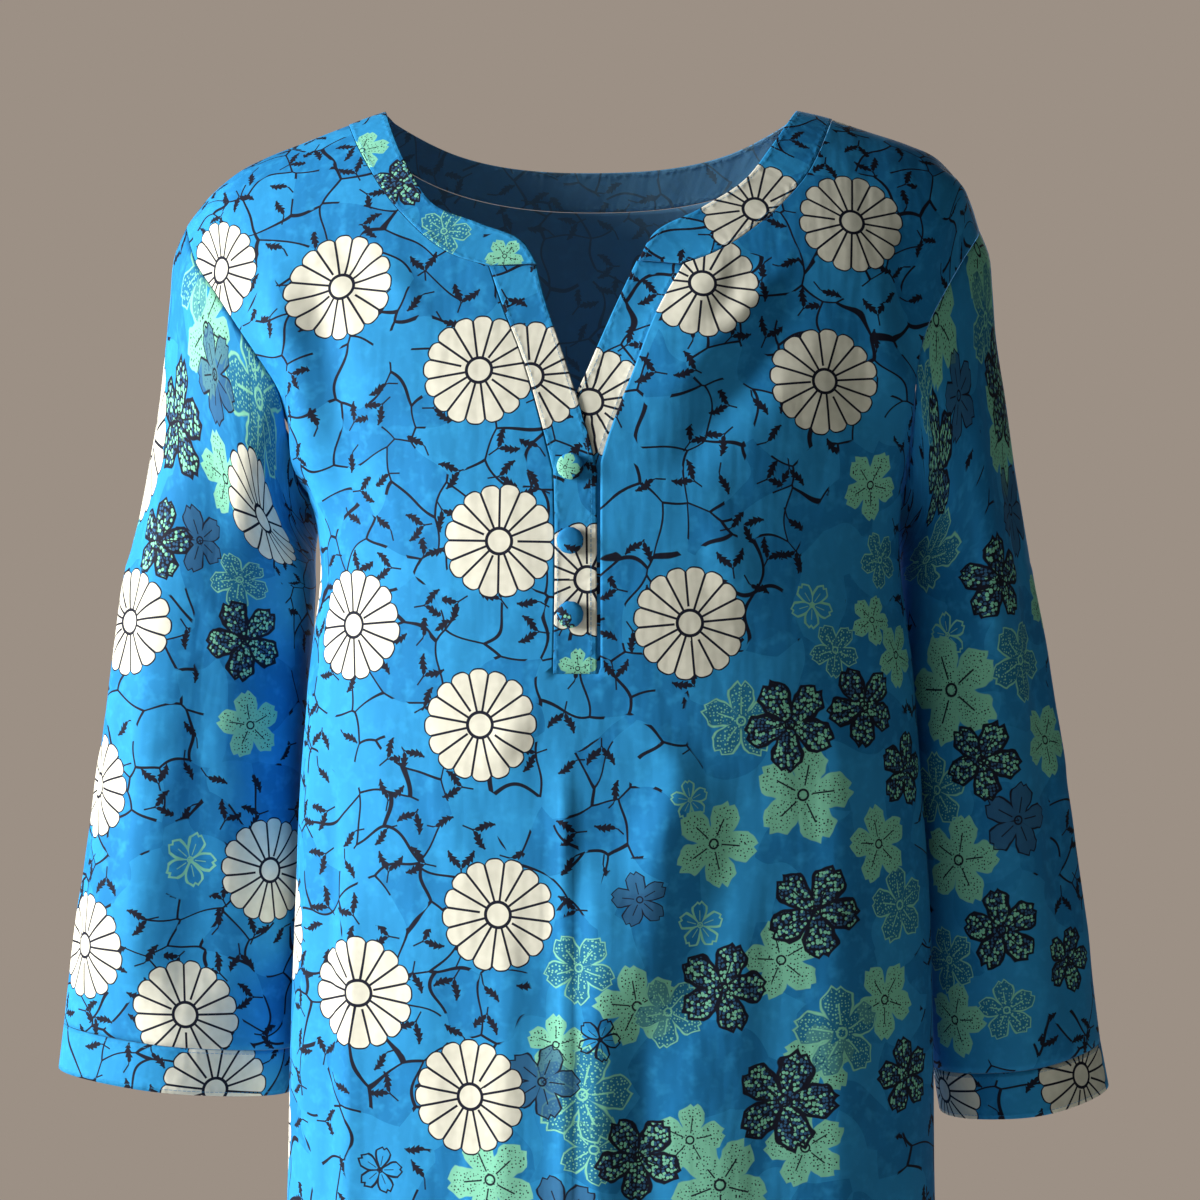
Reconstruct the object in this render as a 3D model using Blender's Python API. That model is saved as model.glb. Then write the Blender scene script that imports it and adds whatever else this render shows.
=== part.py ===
"""A worn tunic dress with a slit neck, built as closed walls of cloth.

All sizes are metres. X points to the right in the front view, the front faces -Y and Z is up.
The origin lies midway between the points where the neck opening meets the shoulders.
"""
import math

import bmesh
import bpy
import numpy as np

MM = 0.001
CM = 0.01

# Cloth and seams
WALL = 1.2 * MM
SEAM_GAP = 0.3 * MM
LAP_GAP = 0.35 * MM
LAP_STEP = WALL + LAP_GAP
LAP_TUCK = 4.0 * MM
SHOULDER_REACH = 0.2 * MM
RIDGE_REACH = -1.5 * CM
MOST_BEND = math.radians(150.0)
WELD = 0.002 * MM
CURVE_SAMPLES = 400

# Heights that rule the torso
CHEST = -26.0 * CM
HEM = -94.5 * CM
PLACKET_FOOT = -33.4 * CM
SLIT_FOOT = -22.1 * CM
UNDERARM = -23.8 * CM
CHART_DROP = 41.0 * CM

# Shape of a torso section: its middle depth, how square it is, and where the side seams lie
MIDDLE_Y = -3.0 * CM
SQUARENESS = 0.85
LEAN = 0.40
LEAST_LEAN = 0.35
TOP_BLEND_START = 0.5
TOP_BLEND_SPAN = 0.3
FRONT_SIDE = 1.89
BACK_SIDE = math.pi - FRONT_SIDE

# Torso sections, cm: height, half width left and right, half depth front and back of the middle
TORSO = np.array([
    (-94.5, 20.6, 22.0, 10.2, 14.6),
    (-80.0, 19.1, 20.9, 9.9, 14.0),
    (-65.0, 18.1, 20.1, 9.5, 13.3),
    (-55.0, 17.9, 20.0, 9.3, 13.0),
    (-47.0, 17.6, 19.8, 9.2, 12.8),
    (-40.0, 17.3, 19.3, 9.2, 12.6),
    (-33.4, 16.7, 18.8, 9.3, 12.6),
    (-26.0, 16.4, 18.0, 9.4, 12.7),
    (-23.0, 16.9, 18.1, 9.4, 12.7),
    (-19.0, 19.3, 19.2, 9.4, 12.7),
    (-15.0, 22.0, 21.4, 9.4, 12.7),
    (-10.0, 24.6, 23.6, 9.4, 12.7),
    (-4.0, 26.3, 25.2, 9.4, 12.7),
    (0.0, 26.9, 25.8, 9.4, 12.7),
]) * CM

# How square the back of a section is: height in cm, power of the cosine
BACK_SQUARE = np.array([
    (-94.5, 0.85),
    (-36.0, 0.85),
    (-27.0, 0.76),
    (-19.0, 0.60),
    (0.0, 0.58),
])

# Shoulder ridge, cm: across, height
RIDGE = np.array([
    (-28.0, -13.5),
    (-24.6, -6.6),
    (-23.5, -5.2),
    (-21.9, -3.9),
    (-19.6, -2.7),
    (-17.3, -1.8),
    (-15.0, -0.9),
    (-12.5, 0.0),
    (-6.0, 0.5),
    (6.0, 0.5),
    (12.2, 0.05),
    (13.4, -0.2),
    (16.3, -1.1),
    (18.8, -1.9),
    (20.8, -2.8),
    (22.1, -4.1),
    (22.8, -5.3),
    (23.3, -6.9),
    (26.0, -14.0),
]) * CM

# Armhole seams from the shoulder to just above the underarm, cm: across, depth, height
ARMHOLE_LEFT_FRONT = np.array([
    (-24.6, 0.0, -6.6),
    (-24.2, -2.6, -7.4),
    (-23.3, -4.6, -9.6),
    (-22.0, -6.2, -11.4),
    (-20.7, -7.2, -13.3),
    (-19.4, -7.6, -15.2),
    (-18.1, -7.4, -17.3),
    (-17.6, -6.1, -19.8),
    (-17.2, -3.6, -22.3),
]) * CM
ARMHOLE_LEFT_BACK = np.array([
    (-24.6, 0.0, -6.6),
    (-24.3, 1.7, -7.7),
    (-23.6, 3.1, -9.8),
    (-22.5, 4.2, -12.2),
    (-21.1, 4.9, -14.8),
    (-19.7, 5.1, -17.4),
    (-18.3, 4.7, -20.0),
    (-17.1, 3.5, -22.4),
]) * CM
ARMHOLE_RIGHT_FRONT = np.array([
    (23.3, 0.0, -6.9),
    (22.8, -2.6, -7.7),
    (21.6, -4.7, -9.4),
    (20.3, -6.3, -11.5),
    (19.2, -7.2, -13.6),
    (18.6, -7.5, -15.9),
    (18.4, -7.2, -18.2),
    (18.3, -5.9, -20.4),
    (18.1, -3.5, -22.5),
]) * CM
ARMHOLE_RIGHT_BACK = np.array([
    (23.3, 0.0, -6.9),
    (23.1, 1.7, -7.9),
    (22.3, 3.1, -10.0),
    (21.3, 4.2, -12.4),
    (20.4, 4.9, -15.0),
    (19.6, 5.1, -17.6),
    (18.8, 4.7, -20.1),
    (18.1, 3.5, -22.4),
]) * CM

# Edges round the neck and slit, cm: across, height, from the slit's foot upwards
LEFT_SLIT_LINE = np.array([
    (-2.26, -22.1),
    (-2.9, -19.5),
    (-4.3, -14.9),
    (-4.9, -13.4),
    (-5.9, -10.5),
]) * CM
LEFT_NECK_LINE = np.array([
    (-5.9, -10.5),
    (-8.0, -9.8),
    (-11.2, -7.0),
    (-13.5, -3.4),
    (-14.7, -0.8),
]) * CM
RIGHT_SLIT_LINE = np.array([
    (0.25, -22.1),
    (0.6, -20.8),
    (2.1, -16.7),
    (3.5, -13.1),
    (5.0, -10.4),
]) * CM
RIGHT_NECK_LINE = np.array([
    (5.0, -10.4),
    (6.8, -9.7),
    (9.2, -8.1),
    (12.0, -5.2),
    (14.3, -0.5),
]) * CM
LEFT_NECK_EDGE = np.array([
    (-3.2, -10.4),
    (-3.9, -9.2),
    (-6.4, -8.0),
    (-9.1, -6.8),
    (-10.7, -4.4),
    (-12.5, 0.0),
]) * CM
RIGHT_NECK_EDGE = np.array([
    (2.5, -10.2),
    (3.3, -8.7),
    (6.0, -7.1),
    (8.6, -5.3),
    (10.3, -3.0),
    (12.2, 0.05),
]) * CM
OVER_EDGE = np.array([
    (0.19, -22.1),
    (-0.2, -20.4),
    (-1.5, -16.2),
    (-3.0, -11.4),
    (-3.2, -10.5),
]) * CM
UNDER_EDGE = np.array([
    (-1.9, -22.1),
    (-1.7, -19.8),
    (-0.3, -16.3),
    (1.25, -12.7),
    (2.5, -10.0),
]) * CM
BACK_NECK_LINE = np.array([
    (-14.7, -0.8),
    (-10.0, -3.3),
    (0.0, -4.8),
    (10.0, -3.2),
    (14.3, -0.5),
]) * CM
BACK_NECK_EDGE = np.array([
    (-12.5, 0.0),
    (-8.5, -1.6),
    (0.0, -2.5),
    (8.5, -1.5),
    (12.2, 0.05),
]) * CM

# Folds of the front, cm: start across and height, end across and height, width, rise
FOLDS = np.array([
    (-18.3, -9.0, -15.8, -25.5, 1.5, 0.75),
    (-16.4, -9.0, -13.4, -27.0, 1.3, -0.45),
    (9.5, -8.5, 1.0, -19.0, 2.0, 0.35),
    (19.0, -7.0, 17.2, -17.0, 1.1, -0.60),
    (17.3, -10.0, 16.9, -26.0, 1.4, 0.50),
    (-1.0, -38.0, -1.0, -94.5, 1.2, 0.45),
    (1.2, -52.0, 1.4, -94.5, 0.8, -0.30),
    (5.5, -38.0, 1.6, -56.0, 2.2, -0.35),
    (13.6, -34.0, 14.2, -94.5, 1.6, 0.45),
    (-13.8, -44.0, -14.4, -94.5, 1.4, 0.30),
]) * CM
FOLD_END = 5.0 * CM
FOLD_SIDE_FADE = 0.6

# Flutes of the lower skirt: how many round the body, greatest rise and where they start
FLUTES = 5.0
FLUTE_RISE = 5.0 * MM
FLUTE_TOP = -55.0 * CM

# Sleeve rings below the cap, cm: height, outer and inner edge across, half depth, tilt in degrees
SLEEVE_LEFT = np.array([
    (-28.0, -28.4, -17.9, 6.1, 8.0),
    (-36.0, -29.7, -17.6, 5.6, 7.0),
    (-44.0, -30.8, -17.8, 5.0, 6.5),
    (-50.0, -31.7, -18.0, 4.5, 6.0),
    (-55.7, -32.3, -18.2, 4.1, 6.0),
])
SLEEVE_RIGHT = np.array([
    (-28.0, 26.5, 19.3, 6.6, 7.0),
    (-36.0, 27.8, 19.0, 6.2, 7.5),
    (-44.0, 29.0, 19.5, 5.9, 8.5),
    (-50.0, 29.9, 20.0, 5.6, 9.5),
    (-56.8, 30.8, 20.6, 5.3, 10.0),
])
SLEEVE_MIDDLE_Y = 1.0 * CM
CUFF_HEIGHT = 2.75 * CM
CUFF_FLARE = 0.006
SLEEVE_PEAK = 0.10
PEAK_SPREAD = 0.45
SEAM_PULL = 0.35
AXIS_PULL = 1.0
UNDERARM_PUSH = 1.3
UNDERARM_ROOM = 4.0 * MM
OUTWARD_DROP = 0.4
OUTLINE_STEPS = 100

# Outer outline of each sleeve cap, cm: across, height
CAP_LEFT = np.array([
    (-24.6, -6.6),
    (-25.3, -8.2),
    (-25.6, -10.9),
    (-25.9, -14.0),
    (-26.3, -17.4),
    (-27.1, -21.9),
    (-28.35, -27.3),
]) * CM
CAP_RIGHT = np.array([
    (23.3, -6.9),
    (23.9, -8.4),
    (24.1, -10.3),
    (24.3, -13.2),
    (24.8, -16.5),
    (25.5, -21.6),
    (26.4, -27.5),
]) * CM

# Grid counts
SKIRT_ROWS = 13
WAIST_ROWS = 4
SLIT_ROWS = 5
NECK_ROWS = 7
SIDE_COLUMNS = 12
STRIP_COLUMNS = 2
BACK_SHOULDER_COLUMNS = 4
BACK_NECK_COLUMNS = 10
CAP_ROWS = 9
ARM_ROWS = 7
EDGE_FADE = 0.45

# Buttons, mm: radius and height of the turned outline, and their places in cm
BUTTON_OUTLINE = ((0.0, 0.0), (6.2, 0.0), (7.3, 0.8), (7.5, 1.6), (6.8, 2.7), (4.4, 3.6), (0.0, 4.0))
BUTTON_SIDES = 24
BUTTON_X = -1.30 * CM
BUTTONS = (("button_top", -21.9 * CM), ("button_middle", -26.0 * CM), ("button_bottom", -30.1 * CM))
BUTTON_LIFT = 0.5 * WALL + SEAM_GAP

COLOURS = {
    "cloth_blue": (0.02, 0.24, 0.60, 1.0),
    "cloth_blue_band": (0.03, 0.28, 0.56, 1.0),
    "button_cloth": (0.16, 0.30, 0.48, 1.0),
}


def smooth_table(value, keys, table):
    """Cubic through table rows at rising keys, with held ends."""
    value = np.asarray(value, dtype=float)
    keys = np.asarray(keys, dtype=float)
    table = np.asarray(table, dtype=float)
    slope = np.gradient(table, keys, axis=0)
    spot = np.clip(value, keys[0], keys[-1])
    index = np.clip(np.searchsorted(keys, spot) - 1, 0, len(keys) - 2)
    span = keys[index + 1] - keys[index]
    u = (spot - keys[index]) / span
    if table.ndim > 1:
        u = u[..., None]
        span = span[..., None]
    start = (1 + 2 * u) * (1 - u) ** 2 * table[index]
    start_slope = u * (1 - u) ** 2 * span * slope[index]
    end = u * u * (3 - 2 * u) * table[index + 1]
    end_slope = u * u * (u - 1) * span * slope[index + 1]
    return start + start_slope + end + end_slope


def along(points, count):
    """Count + 1 points at even lengths on a smooth curve through the given ones."""
    points = np.asarray(points, dtype=float)
    steps = np.linalg.norm(np.diff(points, axis=0), axis=1)
    keys = np.concatenate(([0.0], np.cumsum(steps)))
    fine = smooth_table(np.linspace(0.0, keys[-1], CURVE_SAMPLES), keys, points)
    lengths = np.linalg.norm(np.diff(fine, axis=0), axis=1)
    run = np.concatenate(([0.0], np.cumsum(lengths)))
    wanted = np.linspace(0.0, run[-1], count + 1)
    return np.stack([np.interp(wanted, run, fine[:, k]) for k in range(points.shape[1])], axis=1)


def ridge_height(x):
    """Height of the shoulder ridge over a place across."""
    return smooth_table(x, RIDGE[:, 0], RIDGE[:, 1])


def on_ridge(line):
    """Neck line whose ends near the shoulder are set exactly on its ridge."""
    line = line.copy()
    for k in (0, -1):
        if line[k, 1] > RIDGE_REACH:
            line[k, 1] = ridge_height(line[k, 0])
    return line


def nominal_height(chart):
    """Height of a chart level before the shoulder's slope is added."""
    rising = CHEST * (1.0 - np.sin(np.clip(chart, 0.0, 1.0) * math.pi / 2))
    return np.where(chart > 0, rising, CHEST + chart * CHART_DROP)


def half_width(x_sign, level):
    """Half width of the torso on one side at a nominal height."""
    left = smooth_table(level, TORSO[:, 0], TORSO[:, 1])
    right = smooth_table(level, TORSO[:, 0], TORSO[:, 2])
    return np.where(x_sign < 0, left, right)


def fold_rise(x, z):
    """Rise of the hand-placed folds of the front at a place of the front view."""
    rise = np.zeros_like(x)
    for x1, z1, x2, z2, width, height in FOLDS:
        length = math.hypot(x2 - x1, z2 - z1)
        ux, uz = (x2 - x1) / length, (z2 - z1) / length
        run = (x - x1) * ux + (z - z1) * uz
        across = (x - x1) * uz - (z - z1) * ux
        ends = np.clip(run / FOLD_END, 0, 1) * np.clip((length - run) / FOLD_END, 0, 1)
        if z2 <= HEM:
            ends = np.clip(run / (2 * FOLD_END), 0, 1)
        rise += height * ends * ends * (3 - 2 * ends) * np.exp(-((across / width) ** 2))
    return rise


def torso(angle, chart, back=False):
    """Points of the torso surface. Angle runs from the centre line, positive to the right."""
    angle, chart = np.broadcast_arrays(np.asarray(angle, float), np.asarray(chart, float))
    level = nominal_height(chart)
    sine, cosine = np.sin(angle), np.cos(angle)
    x = half_width(sine, level) * np.sign(sine) * np.abs(sine) ** SQUARENESS
    behind = cosine > 0 if back else cosine < 0
    square = smooth_table(level, BACK_SQUARE[:, 0] * CM, BACK_SQUARE[:, 1])
    reach = np.sign(cosine) * np.abs(cosine) ** np.where(behind, square, SQUARENESS)
    front = smooth_table(level, TORSO[:, 0], TORSO[:, 3])
    rear = smooth_table(level, TORSO[:, 0], TORSO[:, 4])
    if back:
        y = MIDDLE_Y + np.where(reach > 0, rear * reach, front * reach)
    else:
        y = MIDDLE_Y - np.where(reach > 0, front * reach, rear * reach)
    rising = np.clip(1.0 - level / CHEST, 0.0, 1.0)
    lean = np.where(chart > 0, (1.0 - rising ** 2 + 1e-12) ** LEAN, 1.0)
    z = np.where(chart > 0, CHEST + (ridge_height(x) - CHEST) * rising, level)
    y = y * lean
    low = np.clip((FLUTE_TOP - z) / (FLUTE_TOP - HEM), 0.0, 1.0)
    turn = angle + (math.pi if back else 0.0)
    swell = FLUTE_RISE * low * low * np.cos(FLUTES * turn)
    if not back:
        fade = np.clip((FRONT_SIDE - np.abs(angle)) / FOLD_SIDE_FADE, 0.0, 1.0)
        swell = swell + fade * fold_rise(x, z)
    outward = np.sign(-cosine if not back else cosine) * np.sqrt(np.abs(cosine))
    size = np.hypot(sine, outward)
    return np.stack([x + swell * sine / size, y + swell * outward / size, z], axis=-1)


def to_chart(points):
    """Chart angle and level for places given across and by height on the front or back half."""
    points = np.asarray(points, dtype=float)
    x, z = points[:, 0], points[:, -1]
    rising = np.clip((z - CHEST) / (ridge_height(x) - CHEST), 0.0, 1.0)
    chart = np.where(z > CHEST, np.arcsin(rising) * 2 / math.pi, (z - CHEST) / CHART_DROP)
    share = np.clip(np.abs(x) / half_width(x, nominal_height(chart)), 0.0, 1.0)
    return np.stack([np.sign(x) * np.arcsin(share ** (1 / SQUARENESS)), chart], axis=-1)


def seam_chart(points, back=False):
    """Chart angle and level of three-dimensional places near the torso surface."""
    x, y, z = points[:, 0], points[:, 1], points[:, 2]
    rising = np.clip((z - CHEST) / (ridge_height(x) - CHEST), 0.0, 1.0)
    chart = np.where(z > CHEST, np.arcsin(rising) * 2 / math.pi, (z - CHEST) / CHART_DROP)
    level = nominal_height(chart)
    lean = np.maximum((1.0 - np.clip(1.0 - level / CHEST, 0.0, 1.0) ** 2) ** LEAN, LEAST_LEAN)
    depth = y / lean - MIDDLE_Y
    front = smooth_table(level, TORSO[:, 0], TORSO[:, 3])
    rear = smooth_table(level, TORSO[:, 0], TORSO[:, 4])
    forward = np.where(depth < 0, -depth / front, -depth / rear)
    forward = -forward if back else forward
    square = smooth_table(level, BACK_SQUARE[:, 0] * CM, BACK_SQUARE[:, 1])
    power = np.where(depth < 0, 1 / SQUARENESS, 1 / square)
    ahead = np.sign(forward) * np.abs(forward) ** power
    aside = (np.abs(x) / half_width(x, level)) ** (1 / SQUARENESS)
    angle = np.arctan2(aside, ahead)
    near_top = np.clip((chart - TOP_BLEND_START) / TOP_BLEND_SPAN, 0.0, 1.0)
    angle = (1 - near_top) * angle + near_top * np.arcsin(np.clip(aside, 0.0, 1.0))
    return np.stack([np.sign(x) * angle, chart], axis=-1)


def row_line(start, end, count):
    """Even steps in the chart between two chart points."""
    share = np.linspace(0.0, 1.0, count + 1)[:, None]
    return (1 - share) * start + share * end


def coons(bottom, top, left, right, evenness=0.0):
    """Chart grid of rows from bottom to top between four edges that share their corners."""
    s = np.linspace(0.0, 1.0, len(bottom))[None, :]
    low_side = ((left[:, 1] - left[0, 1]) / (left[-1, 1] - left[0, 1]))[:, None]
    high_side = ((right[:, 1] - right[0, 1]) / (right[-1, 1] - right[0, 1]))[:, None]
    even = np.linspace(0.0, 1.0, len(left))[:, None]
    share = evenness * np.sin(math.pi * s)
    v = (1 - share) * ((1 - s) * low_side + s * high_side) + share * even
    across = (1 - s) * left[:, None, 0] + s * right[:, None, 0]
    low = bottom[None, :, 0] - (1 - s) * bottom[0, 0] - s * bottom[-1, 0]
    high = top[None, :, 0] - (1 - s) * top[0, 0] - s * top[-1, 0]
    level = (1 - v) * bottom[None, :, 1] + v * top[None, :, 1]
    return np.stack([across + (1 - v) * low + v * high, level], axis=-1)


def fit_edge(grid, edge, first_row, column):
    """Move a grid's side column on to its seam, fading the move out across the columns."""
    count = grid.shape[1]
    place = np.arange(count) if column == 0 else np.arange(count)[::-1]
    share = np.clip(1.0 - place / (EDGE_FADE * count), 0.0, 1.0)
    fade = (share * share * (3 - 2 * share))[None, :, None]
    move = edge - grid[first_row:, column]
    grid[first_row:] += fade * move[:, None, :]
    return grid


def pull_side(grid, side, distance):
    """Move one border of a grid inwards along its surface."""
    view = {
        "first": grid,
        "last": grid[:, ::-1],
        "low": grid.swapaxes(0, 1),
        "high": grid[::-1].swapaxes(0, 1),
    }
    lines = view[side]
    step = lines[:, 1] - lines[:, 0]
    lines[:, 0] += step / np.linalg.norm(step, axis=1)[:, None] * np.reshape(distance, (-1, 1))


def side_chart(z, sign, back=False):
    """Chart point of a side seam at a height."""
    angle = BACK_SIDE if back else FRONT_SIDE
    chart = (z - CHEST) / CHART_DROP
    if z > CHEST:
        x = sign * half_width(sign, z) * math.sin(FRONT_SIDE) ** SQUARENESS
        chart = math.asin((z - CHEST) / (ridge_height(x) - CHEST)) * 2 / math.pi
    return np.array([sign * angle, chart], dtype=float)


LEFT_NECK_LINE = on_ridge(LEFT_NECK_LINE)
RIGHT_NECK_LINE = on_ridge(RIGHT_NECK_LINE)
LEFT_NECK_EDGE = on_ridge(LEFT_NECK_EDGE)
RIGHT_NECK_EDGE = on_ridge(RIGHT_NECK_EDGE)
BACK_NECK_LINE = on_ridge(BACK_NECK_LINE)
BACK_NECK_EDGE = on_ridge(BACK_NECK_EDGE)
UPPER_ROWS = SLIT_ROWS + NECK_ROWS
UNDERARM_LEFT = torso(*side_chart(UNDERARM, -1.0))
UNDERARM_RIGHT = torso(*side_chart(UNDERARM, 1.0))


def armhole(table, underarm):
    """Armhole seam from the underarm up to the shoulder, one point per panel row."""
    return along(np.vstack([table, underarm]), UPPER_ROWS)[::-1]


ARMHOLES = {
    ("left", "front"): armhole(ARMHOLE_LEFT_FRONT, UNDERARM_LEFT),
    ("left", "back"): armhole(ARMHOLE_LEFT_BACK, UNDERARM_LEFT),
    ("right", "front"): armhole(ARMHOLE_RIGHT_FRONT, UNDERARM_RIGHT),
    ("right", "back"): armhole(ARMHOLE_RIGHT_BACK, UNDERARM_RIGHT),
}


def sleeve_start(side, ring):
    """Directions in which a sleeve leaves its armhole ring, and how far down each point faces."""
    sign = -1.0 if side == "left" else 1.0
    table = SLEEVE_LEFT if side == "left" else SLEEVE_RIGHT
    lean = math.radians(table[0, -1])
    axis = np.array([sign * math.sin(lean), 0.0, -math.cos(lean)])
    away = ring - ring.mean(axis=0)
    away[:, 0] = 0.0
    away /= np.linalg.norm(away, axis=1)[:, None]
    underness = np.clip(-away[:, 2], 0.0, 1.0)[:, None] ** 2
    outward = np.array([sign, 0.0, -OUTWARD_DROP])
    start = AXIS_PULL * axis + SEAM_PULL * outward * (1 - underness) + UNDERARM_PUSH * underness * outward
    return start / np.linalg.norm(start, axis=1)[:, None], axis


def armhole_ring(side):
    """Armhole seam as one ring from the shoulder by the front and round the back."""
    front_seam, back_seam = ARMHOLES[(side, "front")][::-1], ARMHOLES[(side, "back")]
    return np.concatenate([front_seam, back_seam[1:-1]])


def seam_pulls(side, half, outwards):
    """How far a panel and a sleeve each stand back from their armhole seam so their walls clear."""
    ring = armhole_ring(side)
    start = sleeve_start(side, ring)[0]
    start = start[:UPPER_ROWS + 1][::-1] if half == "front" else np.vstack([start[UPPER_ROWS:], start[:1]])
    bend = np.arccos(np.clip(np.sum(outwards * start, axis=1), -1.0, 1.0))
    return SEAM_GAP / 2 + WALL / 2 * np.tan(np.minimum(bend, MOST_BEND) / 2)


def seam_outwards(edge, beside):
    """Directions across a seam, away from the panel, within the cloth."""
    tangent = np.gradient(edge, axis=0)
    tangent /= np.linalg.norm(tangent, axis=1)[:, None]
    outwards = edge - beside
    outwards -= np.sum(outwards * tangent, axis=1)[:, None] * tangent
    outwards[0] = (0.0, 0.0, 1.0)
    return outwards / np.linalg.norm(outwards, axis=1)[:, None]


PULLS = {}


def front_half(sign, slit_line, neck_line):
    """Surface grid of one half of the front, from its side seam to the slit and neck."""
    seam = ARMHOLES[("left" if sign < 0 else "right", "front")]
    slit_points = to_chart(along(slit_line, SLIT_ROWS))
    neck_points = to_chart(along(neck_line, NECK_ROWS))
    inner = np.vstack([slit_points, neck_points[1:]])
    outer = seam_chart(seam)
    outer[0] = side_chart(UNDERARM, sign)
    hem = row_line(side_chart(HEM, sign), to_chart([(slit_line[0, 0], HEM)])[0], SIDE_COLUMNS)
    foot_inner = to_chart([(slit_line[0, 0], PLACKET_FOOT)])[0]
    foot = row_line(side_chart(PLACKET_FOOT, sign), foot_inner, SIDE_COLUMNS)
    start = row_line(outer[0], inner[0], SIDE_COLUMNS)
    ridge = np.linspace(seam[-1, 0], neck_line[-1, 0], SIDE_COLUMNS + 1)
    shoulder = to_chart(np.stack([ridge, ridge_height(ridge)], axis=1))
    upper = coons(start, shoulder, outer, inner)
    skirt_share = np.linspace(0, 1, SKIRT_ROWS + 1)[:-1, None, None]
    waist_share = np.linspace(0, 1, WAIST_ROWS + 1)[:-1, None, None]
    skirt = (1 - skirt_share) * hem + skirt_share * foot
    waist = (1 - waist_share) * foot + waist_share * start
    chart = np.concatenate([skirt, waist, upper])
    grid = torso(chart[..., 0], chart[..., 1])
    return fit_edge(grid, seam, SKIRT_ROWS + WAIST_ROWS, 0)


def back_grid():
    """Surface grid of the back, from the left side seam to the right one."""
    columns = 2 * BACK_SHOULDER_COLUMNS + BACK_NECK_COLUMNS
    left_seam, right_seam = ARMHOLES[("left", "back")], ARMHOLES[("right", "back")]
    left, right = seam_chart(left_seam, True), seam_chart(right_seam, True)
    left[0], right[0] = side_chart(UNDERARM, -1.0, True), side_chart(UNDERARM, 1.0, True)
    neck = to_chart(along(BACK_NECK_LINE, BACK_NECK_COLUMNS))
    ridge_left = np.linspace(left_seam[-1, 0], BACK_NECK_LINE[0, 0], BACK_SHOULDER_COLUMNS + 1)
    ridge_right = np.linspace(BACK_NECK_LINE[-1, 0], right_seam[-1, 0], BACK_SHOULDER_COLUMNS + 1)
    top_left = to_chart(np.stack([ridge_left, ridge_height(ridge_left)], axis=1))
    top_right = to_chart(np.stack([ridge_right, ridge_height(ridge_right)], axis=1))
    top = np.vstack([top_left, neck[1:-1], top_right])
    start = row_line(left[0], right[0], columns)
    hem = row_line(side_chart(HEM, -1.0, True), side_chart(HEM, 1.0, True), columns)
    foot = row_line(side_chart(PLACKET_FOOT, -1.0, True), side_chart(PLACKET_FOOT, 1.0, True), columns)
    upper = coons(start, top, left, right, 1.0)
    skirt_share = np.linspace(0, 1, SKIRT_ROWS + 1)[:-1, None, None]
    waist_share = np.linspace(0, 1, WAIST_ROWS + 1)[:-1, None, None]
    skirt = (1 - skirt_share) * hem + skirt_share * foot
    waist = (1 - waist_share) * foot + waist_share * start
    chart = np.concatenate([skirt, waist, upper])
    grid = torso(chart[..., 0], chart[..., 1], True)
    grid = fit_edge(grid, left_seam, SKIRT_ROWS + WAIST_ROWS, 0)
    return fit_edge(grid, right_seam, SKIRT_ROWS + WAIST_ROWS, -1)


def strip_grid(line, edge, rows, back=False):
    """Surface grid between a band's outer line and its free edge, both given on the front view."""
    outer = to_chart(along(line, rows))
    inner = to_chart(along(edge, rows))
    share = np.linspace(0, 1, STRIP_COLUMNS + 1)[None, :, None]
    chart = (1 - share) * outer[:, None] + share * inner[:, None]
    return torso(chart[..., 0], chart[..., 1], back)


def placket_grid(line, edge):
    """Surface grid of a placket from its foot to the neck band, between two lines."""
    sides = []
    for side in (line, edge):
        low = to_chart([(side[0, 0], PLACKET_FOOT), (side[0, 0], SLIT_FOOT)])
        sides.append(row_line(low[0], low[1], WAIST_ROWS)[:-1])
    share = np.linspace(0, 1, STRIP_COLUMNS + 1)[None, :, None]
    chart = (1 - share) * sides[0][:, None] + share * sides[1][:, None]
    lower = torso(chart[..., 0], chart[..., 1])
    return np.concatenate([lower, strip_grid(line, edge, SLIT_ROWS)])


def normals_of(points, faces):
    """Unit normals at the points of a quad sheet."""
    corner = points[faces]
    cross = np.cross(corner[:, 2] - corner[:, 0], corner[:, 3] - corner[:, 1])
    total = np.zeros_like(points)
    for k in range(4):
        np.add.at(total, faces[:, k], cross)
    return total / np.linalg.norm(total, axis=1)[:, None]


def sheet_of(grids, closed=False):
    """Join grids whose shared borders coincide into one quad sheet."""
    points, faces, known = [], [], {}
    for grid in grids:
        rows, columns = grid.shape[:2]
        index = np.zeros((rows, columns), dtype=int)
        for r in range(rows):
            for c in range(columns):
                key = tuple(np.round(grid[r, c] / WELD).astype(int))
                if key not in known:
                    known[key] = len(points)
                    points.append(grid[r, c])
                index[r, c] = known[key]
        if closed:
            index = np.concatenate([index, index[:, :1]], axis=1)
        quads = np.stack([index[:-1, :-1], index[:-1, 1:], index[1:, 1:], index[1:, :-1]], axis=-1)
        faces.append(quads.reshape(-1, 4))
    return np.array(points), np.concatenate(faces)


def wall_mesh(points, faces, offset=0.0):
    """Closed wall round a quad sheet whose faces look outwards, moved out by an offset."""
    normal = normals_of(points, faces)
    seam = np.abs(points[:, 1]) < SHOULDER_REACH
    normal[seam, 1] = 0.0
    normal /= np.linalg.norm(normal, axis=1)[:, None]
    outer = points + normal * (offset + WALL / 2)
    inner = points + normal * (offset - WALL / 2)
    count = len(points)
    borders = {}
    for face in faces:
        for k in range(4):
            edge = (int(face[k]), int(face[(k + 1) % 4]))
            borders[edge] = borders.get(edge, 0) + 1
    rim = [(b, a, a + count, b + count) for a, b in borders if (b, a) not in borders]
    shell = [tuple(map(int, face)) for face in faces]
    shell += [tuple(int(k) + count for k in face[::-1]) for face in faces]
    return np.concatenate([outer, inner]), shell + rim


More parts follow.
